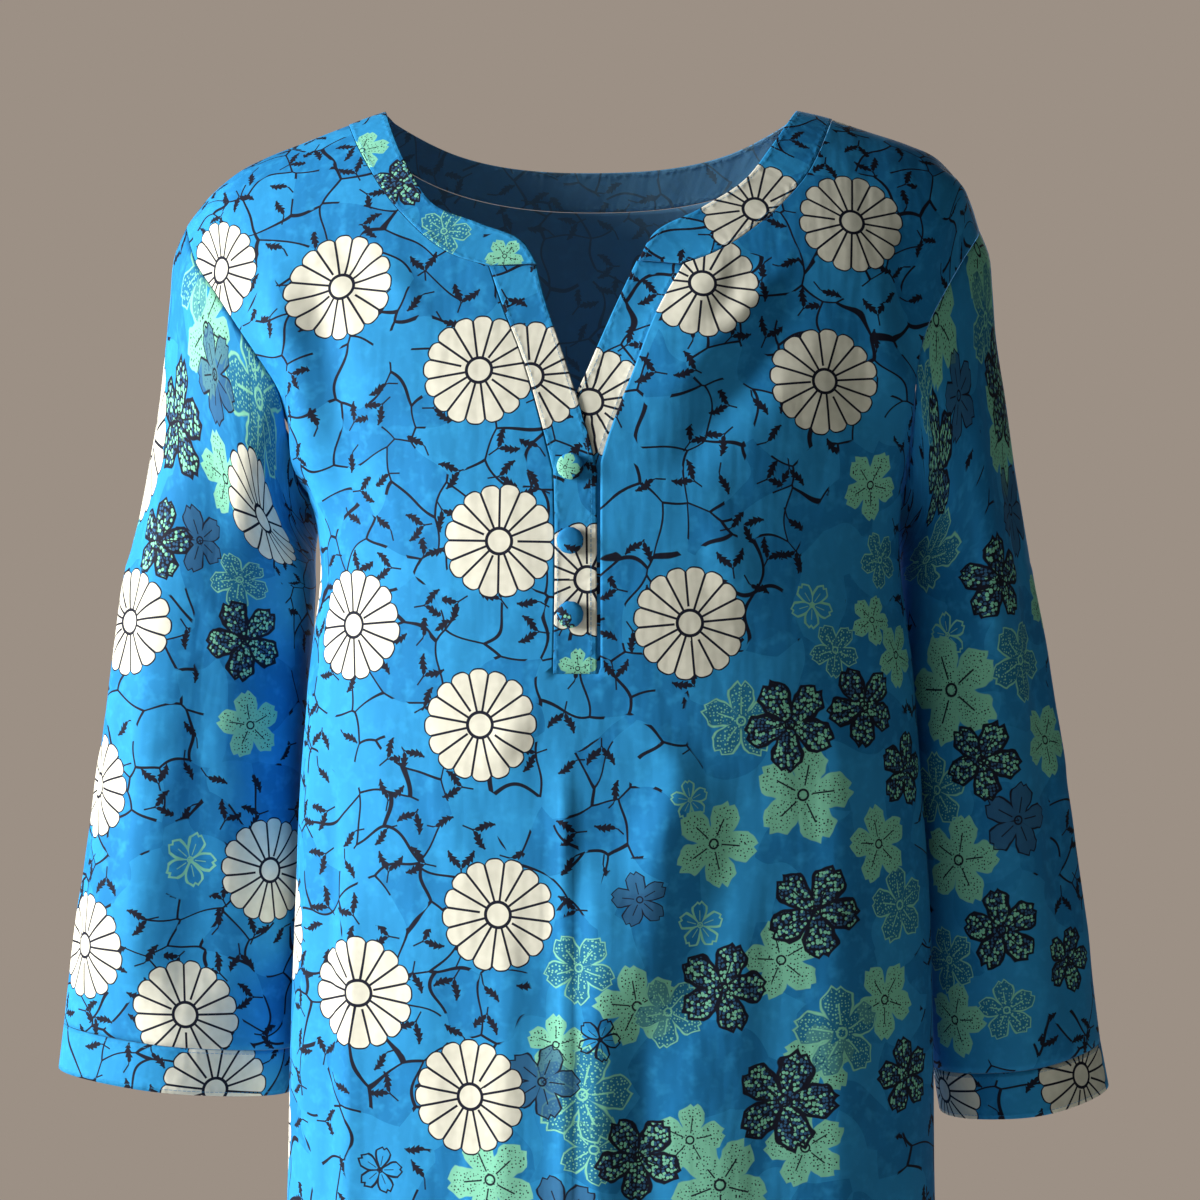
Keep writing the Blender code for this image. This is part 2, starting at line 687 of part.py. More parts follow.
def add_material(name):
    """Material of a cloth colour."""
    material = bpy.data.materials.new(name)
    material.use_nodes = True
    shader = material.node_tree.nodes["Principled BSDF"]
    shader.inputs["Base Color"].default_value = COLOURS[name]
    shader.inputs["Roughness"].default_value = 0.85
    return material


MATERIALS = {}


def add_object(name, points, faces, material):
    """One named solid with triangulated faces and its own material."""
    mesh = bpy.data.meshes.new(name)
    mesh.from_pydata([tuple(p) for p in points], [], faces)
    body = bmesh.new()
    body.from_mesh(mesh)
    bmesh.ops.triangulate(body, faces=body.faces[:], quad_method="SHORT_EDGE")
    bmesh.ops.recalc_face_normals(body, faces=body.faces[:])
    body.to_mesh(mesh)
    body.free()
    solid = bpy.data.objects.new(name, mesh)
    bpy.context.scene.collection.objects.link(solid)
    if material not in MATERIALS:
        MATERIALS[material] = add_material(material)
    solid.data.materials.append(MATERIALS[material])
    return solid


def add_wall(name, grids, material, offset=0.0, closed=False):
    """One wall of cloth from surface grids whose rows run upwards and columns rightwards."""
    points, faces = sheet_of(grids, closed)
    points, faces = wall_mesh(points, faces, offset)
    return add_object(name, points, faces, material)


def stand_back(grid, side, half, seam_side):
    """Pull a panel's side border in, by more along the armhole than down the side seam."""
    lines = grid if seam_side == "first" else grid[:, ::-1]
    upper = SKIRT_ROWS + WAIST_ROWS
    outwards = seam_outwards(lines[upper:, 0], lines[upper:, 1])
    pulls = seam_pulls(side, half, outwards)
    PULLS[(side, half)] = pulls
    pull_side(lines[:upper + 1], "first", SEAM_GAP / 2)
    lines[upper:, 0] -= outwards * pulls[:, None]


def build_front():
    """Front panel with its slot for the placket."""
    left = front_half(-1.0, LEFT_SLIT_LINE, LEFT_NECK_LINE)
    right = front_half(1.0, RIGHT_SLIT_LINE, RIGHT_NECK_LINE)[:, ::-1]
    low = left[:SKIRT_ROWS + 1, -1]
    far = right[:SKIRT_ROWS + 1, 0]
    middle = np.linspace(0, 1, STRIP_COLUMNS + 1)[None, 1:-1, None]
    z = low[:, 2]
    x_low, x_far = LEFT_SLIT_LINE[0, 0], RIGHT_SLIT_LINE[0, 0]
    places = [to_chart(np.stack([np.full_like(z, (1 - m) * x_low + m * x_far), z], axis=1))
              for m in middle.ravel()]
    inside = [torso(place[:, 0], place[:, 1]) for place in places]
    centre = np.stack([low] + inside + [far], axis=1)
    slot = SKIRT_ROWS + 1
    pull_side(left[slot:], "last", SEAM_GAP / 2)
    pull_side(right[slot:], "first", SEAM_GAP / 2)
    stand_back(left, "left", "front", "first")
    stand_back(right, "right", "front", "last")
    pull_side(left, "high", SEAM_GAP / 2)
    pull_side(right, "high", SEAM_GAP / 2)
    add_wall("front_panel", [left, centre, right], "cloth_blue")


def build_back():
    """Back panel."""
    grid = back_grid()
    stand_back(grid, "left", "back", "first")
    stand_back(grid, "right", "back", "last")
    pull_side(grid, "high", SEAM_GAP / 2)
    add_wall("back_panel", [grid[:, ::-1]], "cloth_blue")


def build_bands():
    """Neck bands of the front and the back."""
    left = strip_grid(LEFT_NECK_LINE, LEFT_NECK_EDGE, NECK_ROWS)
    right = strip_grid(RIGHT_NECK_LINE, RIGHT_NECK_EDGE, NECK_ROWS)[:, ::-1]
    back = strip_grid(BACK_NECK_LINE, BACK_NECK_EDGE, BACK_NECK_COLUMNS, True)
    pull_side(left, "first", SEAM_GAP / 2)
    pull_side(right, "last", SEAM_GAP / 2)
    pull_side(back, "first", SEAM_GAP / 2)
    for grid in (left, right):
        pull_side(grid, "low", SEAM_GAP / 2)
        pull_side(grid, "high", SEAM_GAP / 2)
    pull_side(back, "low", SEAM_GAP / 2)
    pull_side(back, "high", SEAM_GAP / 2)
    add_wall("neck_band_left", [left], "cloth_blue_band")
    add_wall("neck_band_right", [right], "cloth_blue_band")
    add_wall("neck_band_back", [back], "cloth_blue_band")


def build_plackets():
    """Placket that lies on top and the one tucked behind it."""
    over = placket_grid(LEFT_SLIT_LINE, OVER_EDGE)
    pull_side(over, "first", SEAM_GAP / 2)
    pull_side(over, "last", SEAM_GAP / 2)
    pull_side(over, "low", SEAM_GAP / 2)
    pull_side(over, "high", SEAM_GAP / 2)
    add_wall("placket_over", [over], "cloth_blue_band")
    under = placket_grid(RIGHT_SLIT_LINE, UNDER_EDGE)
    panel = front_half(1.0, RIGHT_SLIT_LINE, RIGHT_NECK_LINE)[SKIRT_ROWS:SKIRT_ROWS + len(under)]
    aside = panel[:, -2] - panel[:, -1]
    under[:, 0] = panel[:, -1] + aside / np.linalg.norm(aside, axis=1)[:, None] * LAP_TUCK
    under = under[:, ::-1]
    add_wall("placket_under", [under], "cloth_blue_band", -LAP_STEP)


def ring_at(row, sign, count_front, count_back):
    """One sleeve ring from a table row, from its outer edge by the front and round the back."""
    z, outer, inner, depth, tilt = row
    middle = np.array([(outer + inner) / 2 * CM, SLEEVE_MIDDLE_Y, z * CM])
    half = abs(outer - inner) / 2 * CM
    lean = math.radians(tilt)
    out = np.array([sign * math.cos(lean), 0.0, math.sin(lean)])
    front = np.linspace(0, math.pi, count_front + 1)
    rear = np.linspace(math.pi, 2 * math.pi, count_back + 1)[1:-1]
    turn = np.concatenate([front, rear])
    peak = np.exp(-(((turn - math.pi / 2) / PEAK_SPREAD) ** 2))
    reach = depth * CM * (np.sin(turn) + SLEEVE_PEAK * peak)
    ring = middle + half * np.cos(turn)[:, None] * out
    ring[:, 1] -= reach
    return ring


def sleeve_grid(side):
    """Surface grid of a sleeve from its cuff seam up to the armhole."""
    sign = -1.0 if side == "left" else 1.0
    table = SLEEVE_LEFT if side == "left" else SLEEVE_RIGHT
    outline = CAP_LEFT if side == "left" else CAP_RIGHT
    seam_ring = armhole_ring(side)
    start, axis = sleeve_start(side, seam_ring)
    count = len(seam_ring)
    rows = smooth_table(np.linspace(-table[0, 0], -table[-1, 0], ARM_ROWS + 1), -table[:, 0], table)
    rings = [ring_at(row, sign, UPPER_ROWS, UPPER_ROWS) for row in rows]
    first = rings[0]
    reach = np.linalg.norm(first - seam_ring, axis=1)[:, None]
    share = np.linspace(0, 1, CAP_ROWS + 1)[:-1]
    shoulder_turn = np.cos(np.linspace(0, 2 * math.pi, count, endpoint=False))
    top = np.clip(shoulder_turn, 0.0, 1.0)[:, None] ** 2
    wanted = along(outline, OUTLINE_STEPS)
    cap = []
    for u in share:
        ring = (1 + 2 * u) * (1 - u) ** 2 * seam_ring + u * u * (3 - 2 * u) * first
        ring = ring + reach * (u * (1 - u) ** 2 * start - u * u * (1 - u) * axis)
        x = np.interp(-ring[0, 2], -wanted[:, 1], wanted[:, 0])
        ring[:, 0:1] += top * (x - ring[0, 0])
        cap.append(ring)
    under = np.clip(-np.cos(2 * math.pi * np.arange(count) / count), 0.0, 1.0)
    for ring, weight in zip(cap, np.linspace(1.0, 0.0, len(cap))):
        ring[:, 0] += sign * UNDERARM_ROOM * under * weight
    grid = np.array(cap + rings)[::-1]
    pulls = np.concatenate([PULLS[(side, "front")][::-1], PULLS[(side, "back")][1:-1]])
    return grid, pulls


def cuff_rings(side, end_ring):
    """Rings of a cuff that carries on from the last sleeve ring."""
    table = SLEEVE_LEFT if side == "left" else SLEEVE_RIGHT
    sign = -1.0 if side == "left" else 1.0
    lean = math.radians(table[-1, -1])
    axis = np.array([sign * math.sin(lean), 0.0, -math.cos(lean)])
    middle = end_ring.mean(axis=0)
    rings = []
    for share in np.linspace(1, 0, STRIP_COLUMNS + 1):
        scale = 1.0 + CUFF_FLARE * share
        rings.append(middle + (end_ring - middle) * scale + axis * CUFF_HEIGHT * share)
    return np.array(rings)


def build_sleeves():
    """Sleeves with their cuffs."""
    for side in ("left", "right"):
        grid, pulls = sleeve_grid(side)
        cuff = cuff_rings(side, grid[0])
        pull_side(cuff, "high", SEAM_GAP / 2)
        pull_side(grid, "low", SEAM_GAP / 2)
        pull_side(grid, "high", pulls)
        if side == "right":
            grid, cuff = grid[:, ::-1], cuff[:, ::-1]
        add_wall("sleeve_" + side, [grid], "cloth_blue", closed=True)
        add_wall("cuff_" + side, [cuff], "cloth_blue_band", closed=True)


def build_buttons():
    """Covered buttons that rest just off the placket."""
    for name, height in BUTTONS:
        step = 1.0 * MM
        spots = to_chart([(BUTTON_X, height), (BUTTON_X + step, height), (BUTTON_X, height + step)])
        here, beside, above = torso(spots[:, 0], spots[:, 1])
        across = (beside - here) / np.linalg.norm(beside - here)
        normal = np.cross(across, above - here)
        normal /= np.linalg.norm(normal)
        upward = np.cross(normal, across)
        rings = []
        for radius, lift in BUTTON_OUTLINE[1:-1]:
            turn = np.linspace(0, 2 * math.pi, BUTTON_SIDES, endpoint=False)
            ring = np.cos(turn)[:, None] * across + np.sin(turn)[:, None] * upward
            rings.append(here + radius * MM * ring + (BUTTON_LIFT + lift * MM) * normal)
        foot = here + BUTTON_LIFT * normal
        crown = here + (BUTTON_LIFT + BUTTON_OUTLINE[-1][1] * MM) * normal
        points = np.vstack(rings + [foot[None], crown[None]])
        faces = []
        last = len(rings) - 1
        for k in range(BUTTON_SIDES):
            n = (k + 1) % BUTTON_SIDES
            faces.append((len(points) - 2, n, k))
            faces.append((len(points) - 1, last * BUTTON_SIDES + k, last * BUTTON_SIDES + n))
            for r in range(last):
                a, b = r * BUTTON_SIDES, (r + 1) * BUTTON_SIDES
                faces.append((a + k, a + n, b + n, b + k))
        add_object(name, points, faces, "button_cloth")


def main():
    """Build every piece of the dress."""
    for item in list(bpy.data.objects):
        bpy.data.objects.remove(item, do_unlink=True)
    build_front()
    build_back()
    build_bands()
    build_plackets()
    build_sleeves()
    build_buttons()


main()
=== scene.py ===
"""The v-neck dress as it looks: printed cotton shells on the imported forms, in a plain room."""
import logging
import math
from dataclasses import dataclass, field
from enum import Enum
from typing import Any, Optional, Sequence

import bpy
import numpy as np
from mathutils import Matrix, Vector


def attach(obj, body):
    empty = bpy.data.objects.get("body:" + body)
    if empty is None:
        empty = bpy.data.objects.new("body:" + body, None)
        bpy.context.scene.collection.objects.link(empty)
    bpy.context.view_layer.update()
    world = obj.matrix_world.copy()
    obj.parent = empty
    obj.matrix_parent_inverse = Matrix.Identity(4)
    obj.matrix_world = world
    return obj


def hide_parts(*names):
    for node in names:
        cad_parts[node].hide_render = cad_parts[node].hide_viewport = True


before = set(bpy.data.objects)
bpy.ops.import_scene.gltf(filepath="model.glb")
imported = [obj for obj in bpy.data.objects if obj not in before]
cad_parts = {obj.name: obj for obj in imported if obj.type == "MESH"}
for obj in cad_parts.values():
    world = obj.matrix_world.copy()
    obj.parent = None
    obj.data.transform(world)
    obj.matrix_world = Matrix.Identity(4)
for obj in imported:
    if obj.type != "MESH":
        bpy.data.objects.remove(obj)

logging.basicConfig(level=logging.INFO, format="%(message)s")
LOG = logging.getLogger("dress")

CM = 0.01
MM = 0.001
# Heights of the cut, from the point where the dress rests on the shoulders.
HEM = -94.5 * CM
CHEST = -26.0 * CM
PLACKET_FOOT = -33.4 * CM
SLIT_FOOT = -22.1 * CM
UNDERARM = -23.8 * CM
# One unit of the chart's level below the chest.
CHART_DROP = 41.0 * CM
# Side seam: its angle from the middle of the front, and from the middle of the back.
FRONT_SIDE = 1.89
BACK_SIDE = math.pi - FRONT_SIDE
# Thickness of the cloth, and the topstitching's distance from a sewn edge.
CLOTH = 0.45 * MM
STITCH_INSET = 2.2 * MM
# Front-view pixels to a metre of the dress, by which flowers are laid on the cloth.
VIEW_SCALE = 1750.0
# How far a blossom keeps vines off the ground round it, in its own radii.
BARE_REACH = 2.6
# Layers of the print: the rosettes, and the blossoms from the lowest up.
LAYERS = ("rosette", "bloom_a", "bloom_b", "bloom_c")
# A blossom's petal over its radius: half width foot + spread * length - curve * length squared,
# cut off by a tip that slopes down on both sides of a point a little aside of its middle.
BLOOM_PETALS = 5
PETAL_FOOT, PETAL_SPREAD, PETAL_CURVE = 0.05, 0.84, 0.62
PETAL_TIP, POINT_ASIDE, POINT_SLOPE = 0.96, 0.09, 0.95


class Side(Enum):
    """Which sleeve or half, as seen from the front."""

    LEFT = -1.0
    RIGHT = 1.0


class Bloom(Enum):
    """Kinds of small five-petalled flower in the print."""

    MINT = 0
    OUTLINE = 1
    BLACK = 2
    SLATE = 3
    SMALL = 4


MINT, OUTLINE, BLACK, SLATE, SMALL = Bloom
# Charted flowers: places across and up, and for blossoms their radius and kind too.
Places = Sequence[tuple[float, float]]
Blooms = Sequence[tuple[float, float, float, Bloom]]


def smooth_table(value: Any, keys: Any, table: Any) -> np.ndarray:
    """Cubic through table rows at rising keys, with held ends.

    Each stretch is a Hermite cubic whose end slopes are central differences of the rows.

    Args:
        value: where to read the table, any shape.
        keys: rising row keys.
        table: a value or a vector for each key.

    Returns:
        The read values, with value's shape and the table's trailing one.
    """
    value = np.asarray(value, dtype=float)
    keys = np.asarray(keys, dtype=float)
    table = np.asarray(table, dtype=float)
    slope = np.gradient(table, keys, axis=0)
    spot = np.clip(value, keys[0], keys[-1])
    index = np.clip(np.searchsorted(keys, spot) - 1, 0, len(keys) - 2)
    span = keys[index + 1] - keys[index]
    u = (spot - keys[index]) / span
    if table.ndim > 1:
        u, span = u[..., None], span[..., None]
    low = (1 + 2 * u) * (1 - u) ** 2 * table[index] + u * (1 - u) ** 2 * span * slope[index]
    return low + u * u * (3 - 2 * u) * table[index + 1] + u * u * (u - 1) * span * slope[index + 1]


def run_length(points: np.ndarray, axis: int = 0) -> np.ndarray:
    """Length along a line of points, or along one way of a grid of them.

    Args:
        points: points, last axis their coordinates.
        axis: the way in which steps are summed.

    Returns:
        The lengths from the first point, which has 0.
    """
    step = np.linalg.norm(np.diff(points, axis=axis), axis=-1)
    return np.insert(np.cumsum(step, axis=axis), 0, 0.0, axis=axis)


def along(points: Any, count: int) -> np.ndarray:
    """Count + 1 points at even lengths on a smooth curve through the given ones.

    Args:
        points: rows of coordinates.
        count: number of steps.

    Returns:
        The evenly spread points.
    """
    points = np.asarray(points, dtype=float)
    keys = run_length(points)
    fine = smooth_table(np.linspace(0.0, keys[-1], 600), keys, points)
    run = run_length(fine)
    wanted = np.linspace(0.0, run[-1], count + 1)
    return np.stack([np.interp(wanted, run, fine[:, k]) for k in range(points.shape[1])], axis=1)


def turning(angle: float) -> np.ndarray:
    """Matrix that turns rows of flat places clockwise by an angle in radians."""
    return np.array([[math.cos(angle), -math.sin(angle)], [math.sin(angle), math.cos(angle)]])


def grid_quads(rows: int, columns: int, start: int = 0, ring: bool = False) -> np.ndarray:
    """Quads of a grid of points whose rows run upwards and columns rightwards.

    Args:
        rows: rows of points.
        columns: points in a row.
        start: index of the first point.
        ring: whether each row closes on itself.

    Returns:
        Four point indices per quad.
    """
    index = start + np.arange(rows * columns).reshape(rows, columns)
    if ring:
        index = np.concatenate([index, index[:, :1]], axis=1)
    quads = np.stack([index[:-1, :-1], index[:-1, 1:], index[1:, 1:], index[1:, :-1]], axis=-1)
    return quads.reshape(-1, 4)


def soft_step(value: Any) -> np.ndarray:
    """Cubic ramp from 0 to 1 with level ends."""
    value = np.clip(value, 0.0, 1.0)
    return value * value * (3 - 2 * value)


@dataclass
class Folds:
    """Listed creases: soft ridges and troughs along short lines.

    A row is start across and height, end across and height, width and rise, in cm. The rise falls
    off as a bell curve across the line and fades towards both ends.
    """

    rows: np.ndarray
    end: float = 5.0 * CM

    @classmethod
    def wear(cls, seed: int, count: int, sides: tuple[float, float],
             heights: tuple[float, float], clear: tuple[float, float] = (0.0, 0.0)) -> "Folds":
        """Faint creases of wear, near upright, strewn over a stretch of cloth.

        Args:
            seed: of the random draws.
            count: how many.
            sides: range across, cm.
            heights: range of their starts, cm.
            clear: half width of a strip kept free in the middle and the height it ends at, cm.

        Returns:
            The creases.
        """
        luck = np.random.default_rng(seed)
        x, z = luck.uniform(*sides, count), luck.uniform(*heights, count)
        length, lean = luck.uniform(5.0, 13.0, count), luck.normal(0.0, 0.45, count)
        width = luck.uniform(0.45, 1.1, count)
        rise = luck.uniform(0.03, 0.085, count) * luck.choice([-1.0, 1.0], count)
        rows = np.stack([x, z, x + length * np.sin(lean), z - length * np.cos(lean), width, rise],
                        axis=1)
        free = (np.minimum(np.abs(rows[:, 0]), np.abs(rows[:, 2])) > clear[0]) | (z < clear[1])
        return cls(rows[free])

    def rise(self, x: np.ndarray, z: np.ndarray) -> np.ndarray:
        """Sum of all creases at places across and by height.

        Args:
            x: places across, metres.
            z: heights, metres.

        Returns:
            How far the cloth stands out, metres.
        """
        total = np.zeros(np.broadcast(x, z).shape)
        for x1, z1, x2, z2, width, height in self.rows * CM:
            length = math.hypot(x2 - x1, z2 - z1)
            ux, uz = (x2 - x1) / length, (z2 - z1) / length
            run = (x - x1) * ux + (z - z1) * uz
            across = (x - x1) * uz - (z - z1) * ux
            fade = min(self.end, length / 2)
            ends = np.clip(run / fade, 0, 1)
            if z2 > HEM:
                ends = ends * np.clip((length - run) / fade, 0, 1)
            total += height * soft_step(ends) * np.exp(-((across / width) ** 2))
        return total


@dataclass
class TorsoForm:
    """The worn body of the dress as one surface of an angle round it and a level up it.

    Below the chest a level is a rounded-square ring from the section table. Above it each column
    leans in to the shoulder ridge along a quarter of a rounded square.
    """

    sections: np.ndarray = field(default_factory=lambda: np.array([
        (-94.5, 20.6, 22.0, 10.2, 14.6), (-80.0, 19.1, 20.9, 9.9, 14.0),
        (-65.0, 18.1, 20.1, 9.5, 13.3), (-55.0, 17.9, 20.0, 9.3, 13.0),
        (-47.0, 17.6, 19.8, 9.2, 12.8), (-40.0, 17.3, 19.3, 9.2, 12.6),
        (-33.4, 16.7, 18.8, 9.3, 12.6), (-26.0, 16.4, 18.0, 9.4, 12.7),
        (-23.0, 16.9, 18.1, 9.4, 12.7), (-19.0, 19.3, 19.2, 9.4, 12.7),
        (-15.0, 22.0, 21.4, 9.4, 12.7), (-10.0, 24.6, 23.6, 9.4, 12.7),
        (-4.0, 26.3, 25.2, 9.4, 12.7), (0.0, 26.9, 25.8, 9.4, 12.7)]) * CM)
    back_square: np.ndarray = field(default_factory=lambda: np.array([
        (-94.5, 0.85), (-36.0, 0.85), (-27.0, 0.76), (-19.0, 0.60), (0.0, 0.58)]))
    ridge: np.ndarray = field(default_factory=lambda: np.array([
        (-28.0, -13.5), (-24.6, -6.6), (-23.5, -5.2), (-21.9, -3.9), (-19.6, -2.7), (-17.3, -1.8),
        (-15.0, -0.9), (-12.5, 0.0), (-6.0, 0.5), (6.0, 0.5), (12.2, 0.05), (13.4, -0.2),
        (16.3, -1.1), (18.8, -1.9), (20.8, -2.8), (22.1, -4.1), (22.8, -5.3), (23.3, -6.9),
        (26.0, -14.0)]) * CM)
    middle_y: float = -3.0 * CM
    square: float = 0.85
    lean: float = 0.40
    flutes: float = 5.0
    flute_rise: float = 5.0 * MM
    flute_top: float = -55.0 * CM
    side_fade: float = 0.6
    fabric_lines: int = 161

    def ridge_height(self, x: Any) -> np.ndarray:
        """Height of the shoulder ridge over a place across."""
        return smooth_table(x, self.ridge[:, 0], self.ridge[:, 1])

    def section(self, level: np.ndarray, column: int) -> np.ndarray:
        """One column of the section table at nominal heights."""
        return smooth_table(level, self.sections[:, 0], self.sections[:, column])

    def rear_power(self, level: np.ndarray) -> np.ndarray:
        """Power of the cosine that rounds the back at nominal heights."""
        return smooth_table(level, self.back_square[:, 0] * CM, self.back_square[:, 1])

    def nominal(self, chart: np.ndarray) -> np.ndarray:
        """Height of a chart level before the shoulder's slope is added."""
        rising = CHEST * (1.0 - np.sin(np.clip(chart, 0.0, 1.0) * math.pi / 2))
        return np.where(chart > 0, rising, CHEST + chart * CHART_DROP)

    def level_at(self, x: Any, z: Any) -> np.ndarray:
        """Chart level at places across and by height."""
        rising = np.clip((z - CHEST) / (self.ridge_height(x) - CHEST), 0.0, 1.0)
        return np.where(z > CHEST, np.arcsin(rising) * 2 / math.pi, (z - CHEST) / CHART_DROP)

    def half_width(self, sign: Any, level: np.ndarray) -> np.ndarray:
        """Half width at nominal heights, left of the middle where the sign is negative."""
        return np.where(np.asarray(sign) < 0, self.section(level, 1), self.section(level, 2))

    def point(self, angle: Any, chart: Any, back: bool = False,
              folds: Sequence[Folds] = ()) -> np.ndarray:
        """Points of the surface.

        Across is the half width times sine to a power, depth is the half depth times cosine to
        one, and both lean in above the chest. Creases push the point out from the middle.

        Args:
            angle: angle from the centre line, positive to the right, radians.
            chart: level, 0 at the chest, 1 on the ridge, falling below 0 to the hem.
            back: whether the angle is counted from the centre of the back.
            folds: creases to add.

        Returns:
            Points, metres.
        """
        angle, chart = np.broadcast_arrays(np.asarray(angle, float), np.asarray(chart, float))
        level = self.nominal(chart)
        sine, cosine = np.sin(angle), np.cos(angle)
        x = self.half_width(sine, level) * np.sign(sine) * np.abs(sine) ** self.square
        behind = cosine > 0 if back else cosine < 0
        power = np.where(behind, self.rear_power(level), self.square)
        reach = np.sign(cosine) * np.abs(cosine) ** power
        turn = 1.0 if back else -1.0
        y = self.middle_y + turn * np.where(behind, self.section(level, 4),
                                            self.section(level, 3)) * reach
        rising = np.clip(1.0 - level / CHEST, 0.0, 1.0)
        lean = np.where(chart > 0, (1.0 - rising ** 2 + 1e-12) ** self.lean, 1.0)
        z = np.where(chart > 0, CHEST + (self.ridge_height(x) - CHEST) * rising, level)
        low = np.clip((self.flute_top - z) / (self.flute_top - HEM), 0.0, 1.0)
        whole = angle + (math.pi if back else 0.0)
        swell = self.flute_rise * low * low * np.cos(self.flutes * whole)
        limit = BACK_SIDE if back else FRONT_SIDE
        fade = np.clip((limit - np.abs(angle)) / self.side_fade, 0.0, 1.0)
        for crease in folds:
            swell = swell + fade * crease.rise(x, z)
        outward = turn * np.sign(cosine) * np.sqrt(np.abs(cosine))
        size = np.hypot(sine, outward)
        return np.stack([x + swell * sine / size, y * lean + swell * outward / size, z], axis=-1)

    def to_chart(self, places: Any) -> np.ndarray:
        """Chart points of places in front view, on the nearer half.

        Args:
            places: rows whose first value is the place across and last the height, metres.

        Returns:
            Chart angles and levels.
        """
        places = np.asarray(places, dtype=float)
        x = places[:, 0]
        chart = self.level_at(x, places[:, -1])
        share = np.clip(np.abs(x) / self.half_width(x, self.nominal(chart)), 0.0, 1.0)
        return np.stack([np.sign(x) * np.arcsin(share ** (1 / self.square)), chart], axis=-1)

    def seam_chart(self, points: np.ndarray, back: bool = False) -> np.ndarray:
        """Chart points of places in space near the surface.

        The angle comes from the place across and the depth. Near the shoulder, where the depth
        says little, it turns over to the place across alone.

        Args:
            points: places, metres.
            back: whether the angle is counted from the centre of the back.

        Returns:
            Chart angles and levels.
        """
        x, y, z = points.T
        chart = self.level_at(x, z)
        level = self.nominal(chart)
        lean = (1.0 - np.clip(1.0 - level / CHEST, 0.0, 1.0) ** 2) ** self.lean
        depth = y / np.maximum(lean, 0.35) - self.middle_y
        front, rear = self.section(level, 3), self.section(level, 4)
        forward = np.where(depth < 0, -depth / front, -depth / rear) * (-1.0 if back else 1.0)
        power = np.where(depth < 0, 1 / self.square, 1 / self.rear_power(level))
        ahead = np.sign(forward) * np.abs(forward) ** power
        aside = (np.abs(x) / self.half_width(x, level)) ** (1 / self.square)
        near_top = np.clip((chart - 0.5) / 0.3, 0.0, 1.0)
        angle = (1 - near_top) * np.arctan2(aside, ahead)
        angle = angle + near_top * np.arcsin(np.clip(aside, 0.0, 1.0))
        return np.stack([np.sign(x) * angle, chart], axis=-1)

    def side_chart(self, z: float, sign: float, back: bool = False) -> np.ndarray:
        """Chart point of a side seam.

        Args:
            z: height, metres.
            sign: negative for the left seam.
            back: whether the angle is counted from the centre of the back.

        Returns:
            Chart angle and level.
        """
        x = sign * self.half_width(sign, np.array(z)) * math.sin(FRONT_SIDE) ** self.square
        angle = sign * (BACK_SIDE if back else FRONT_SIDE)
        return np.array([angle, float(self.level_at(x, z))])

    def fabric(self, chart: np.ndarray, back: bool = False) -> np.ndarray:
        """Place on the flat cloth: length round from the centre line and length up from the chest.

        Both are summed along the surface without creases, on a fine chart, and read from it.

        Args:
            chart: chart angles and levels, last axis 2.
            back: whether they are on the back.

        Returns:
            Cloth coordinates, metres, with the chest at its own height.
        """
        count = self.fabric_lines
        angles = np.linspace(-FRONT_SIDE, FRONT_SIDE, count)
        levels = np.linspace((HEM - CHEST) / CHART_DROP, 1.0, count)
        grid = self.point(angles[None, :], levels[:, None], back)
        across, up = run_length(grid, 1), run_length(grid, 0)
        across -= across[:, [count // 2]]
        up += CHEST - up[round(np.interp(0.0, levels, np.arange(count)))]
        a = (chart[..., 0] - angles[0]) / (angles[1] - angles[0])
        b = (chart[..., 1] - levels[0]) / (levels[1] - levels[0])
        a, b = (np.clip(place, 0, count - 1.001) for place in (a, b))
        i, j = a.astype(int), b.astype(int)
        fa, fb = a - i, b - j
        out = []
        for table in (across, up):
            low = table[j, i] * (1 - fa) + table[j, i + 1] * fa
            high = table[j + 1, i] * (1 - fa) + table[j + 1, i + 1] * fa
            out.append(low * (1 - fb) + high * fb)
        return np.stack(out, axis=-1)


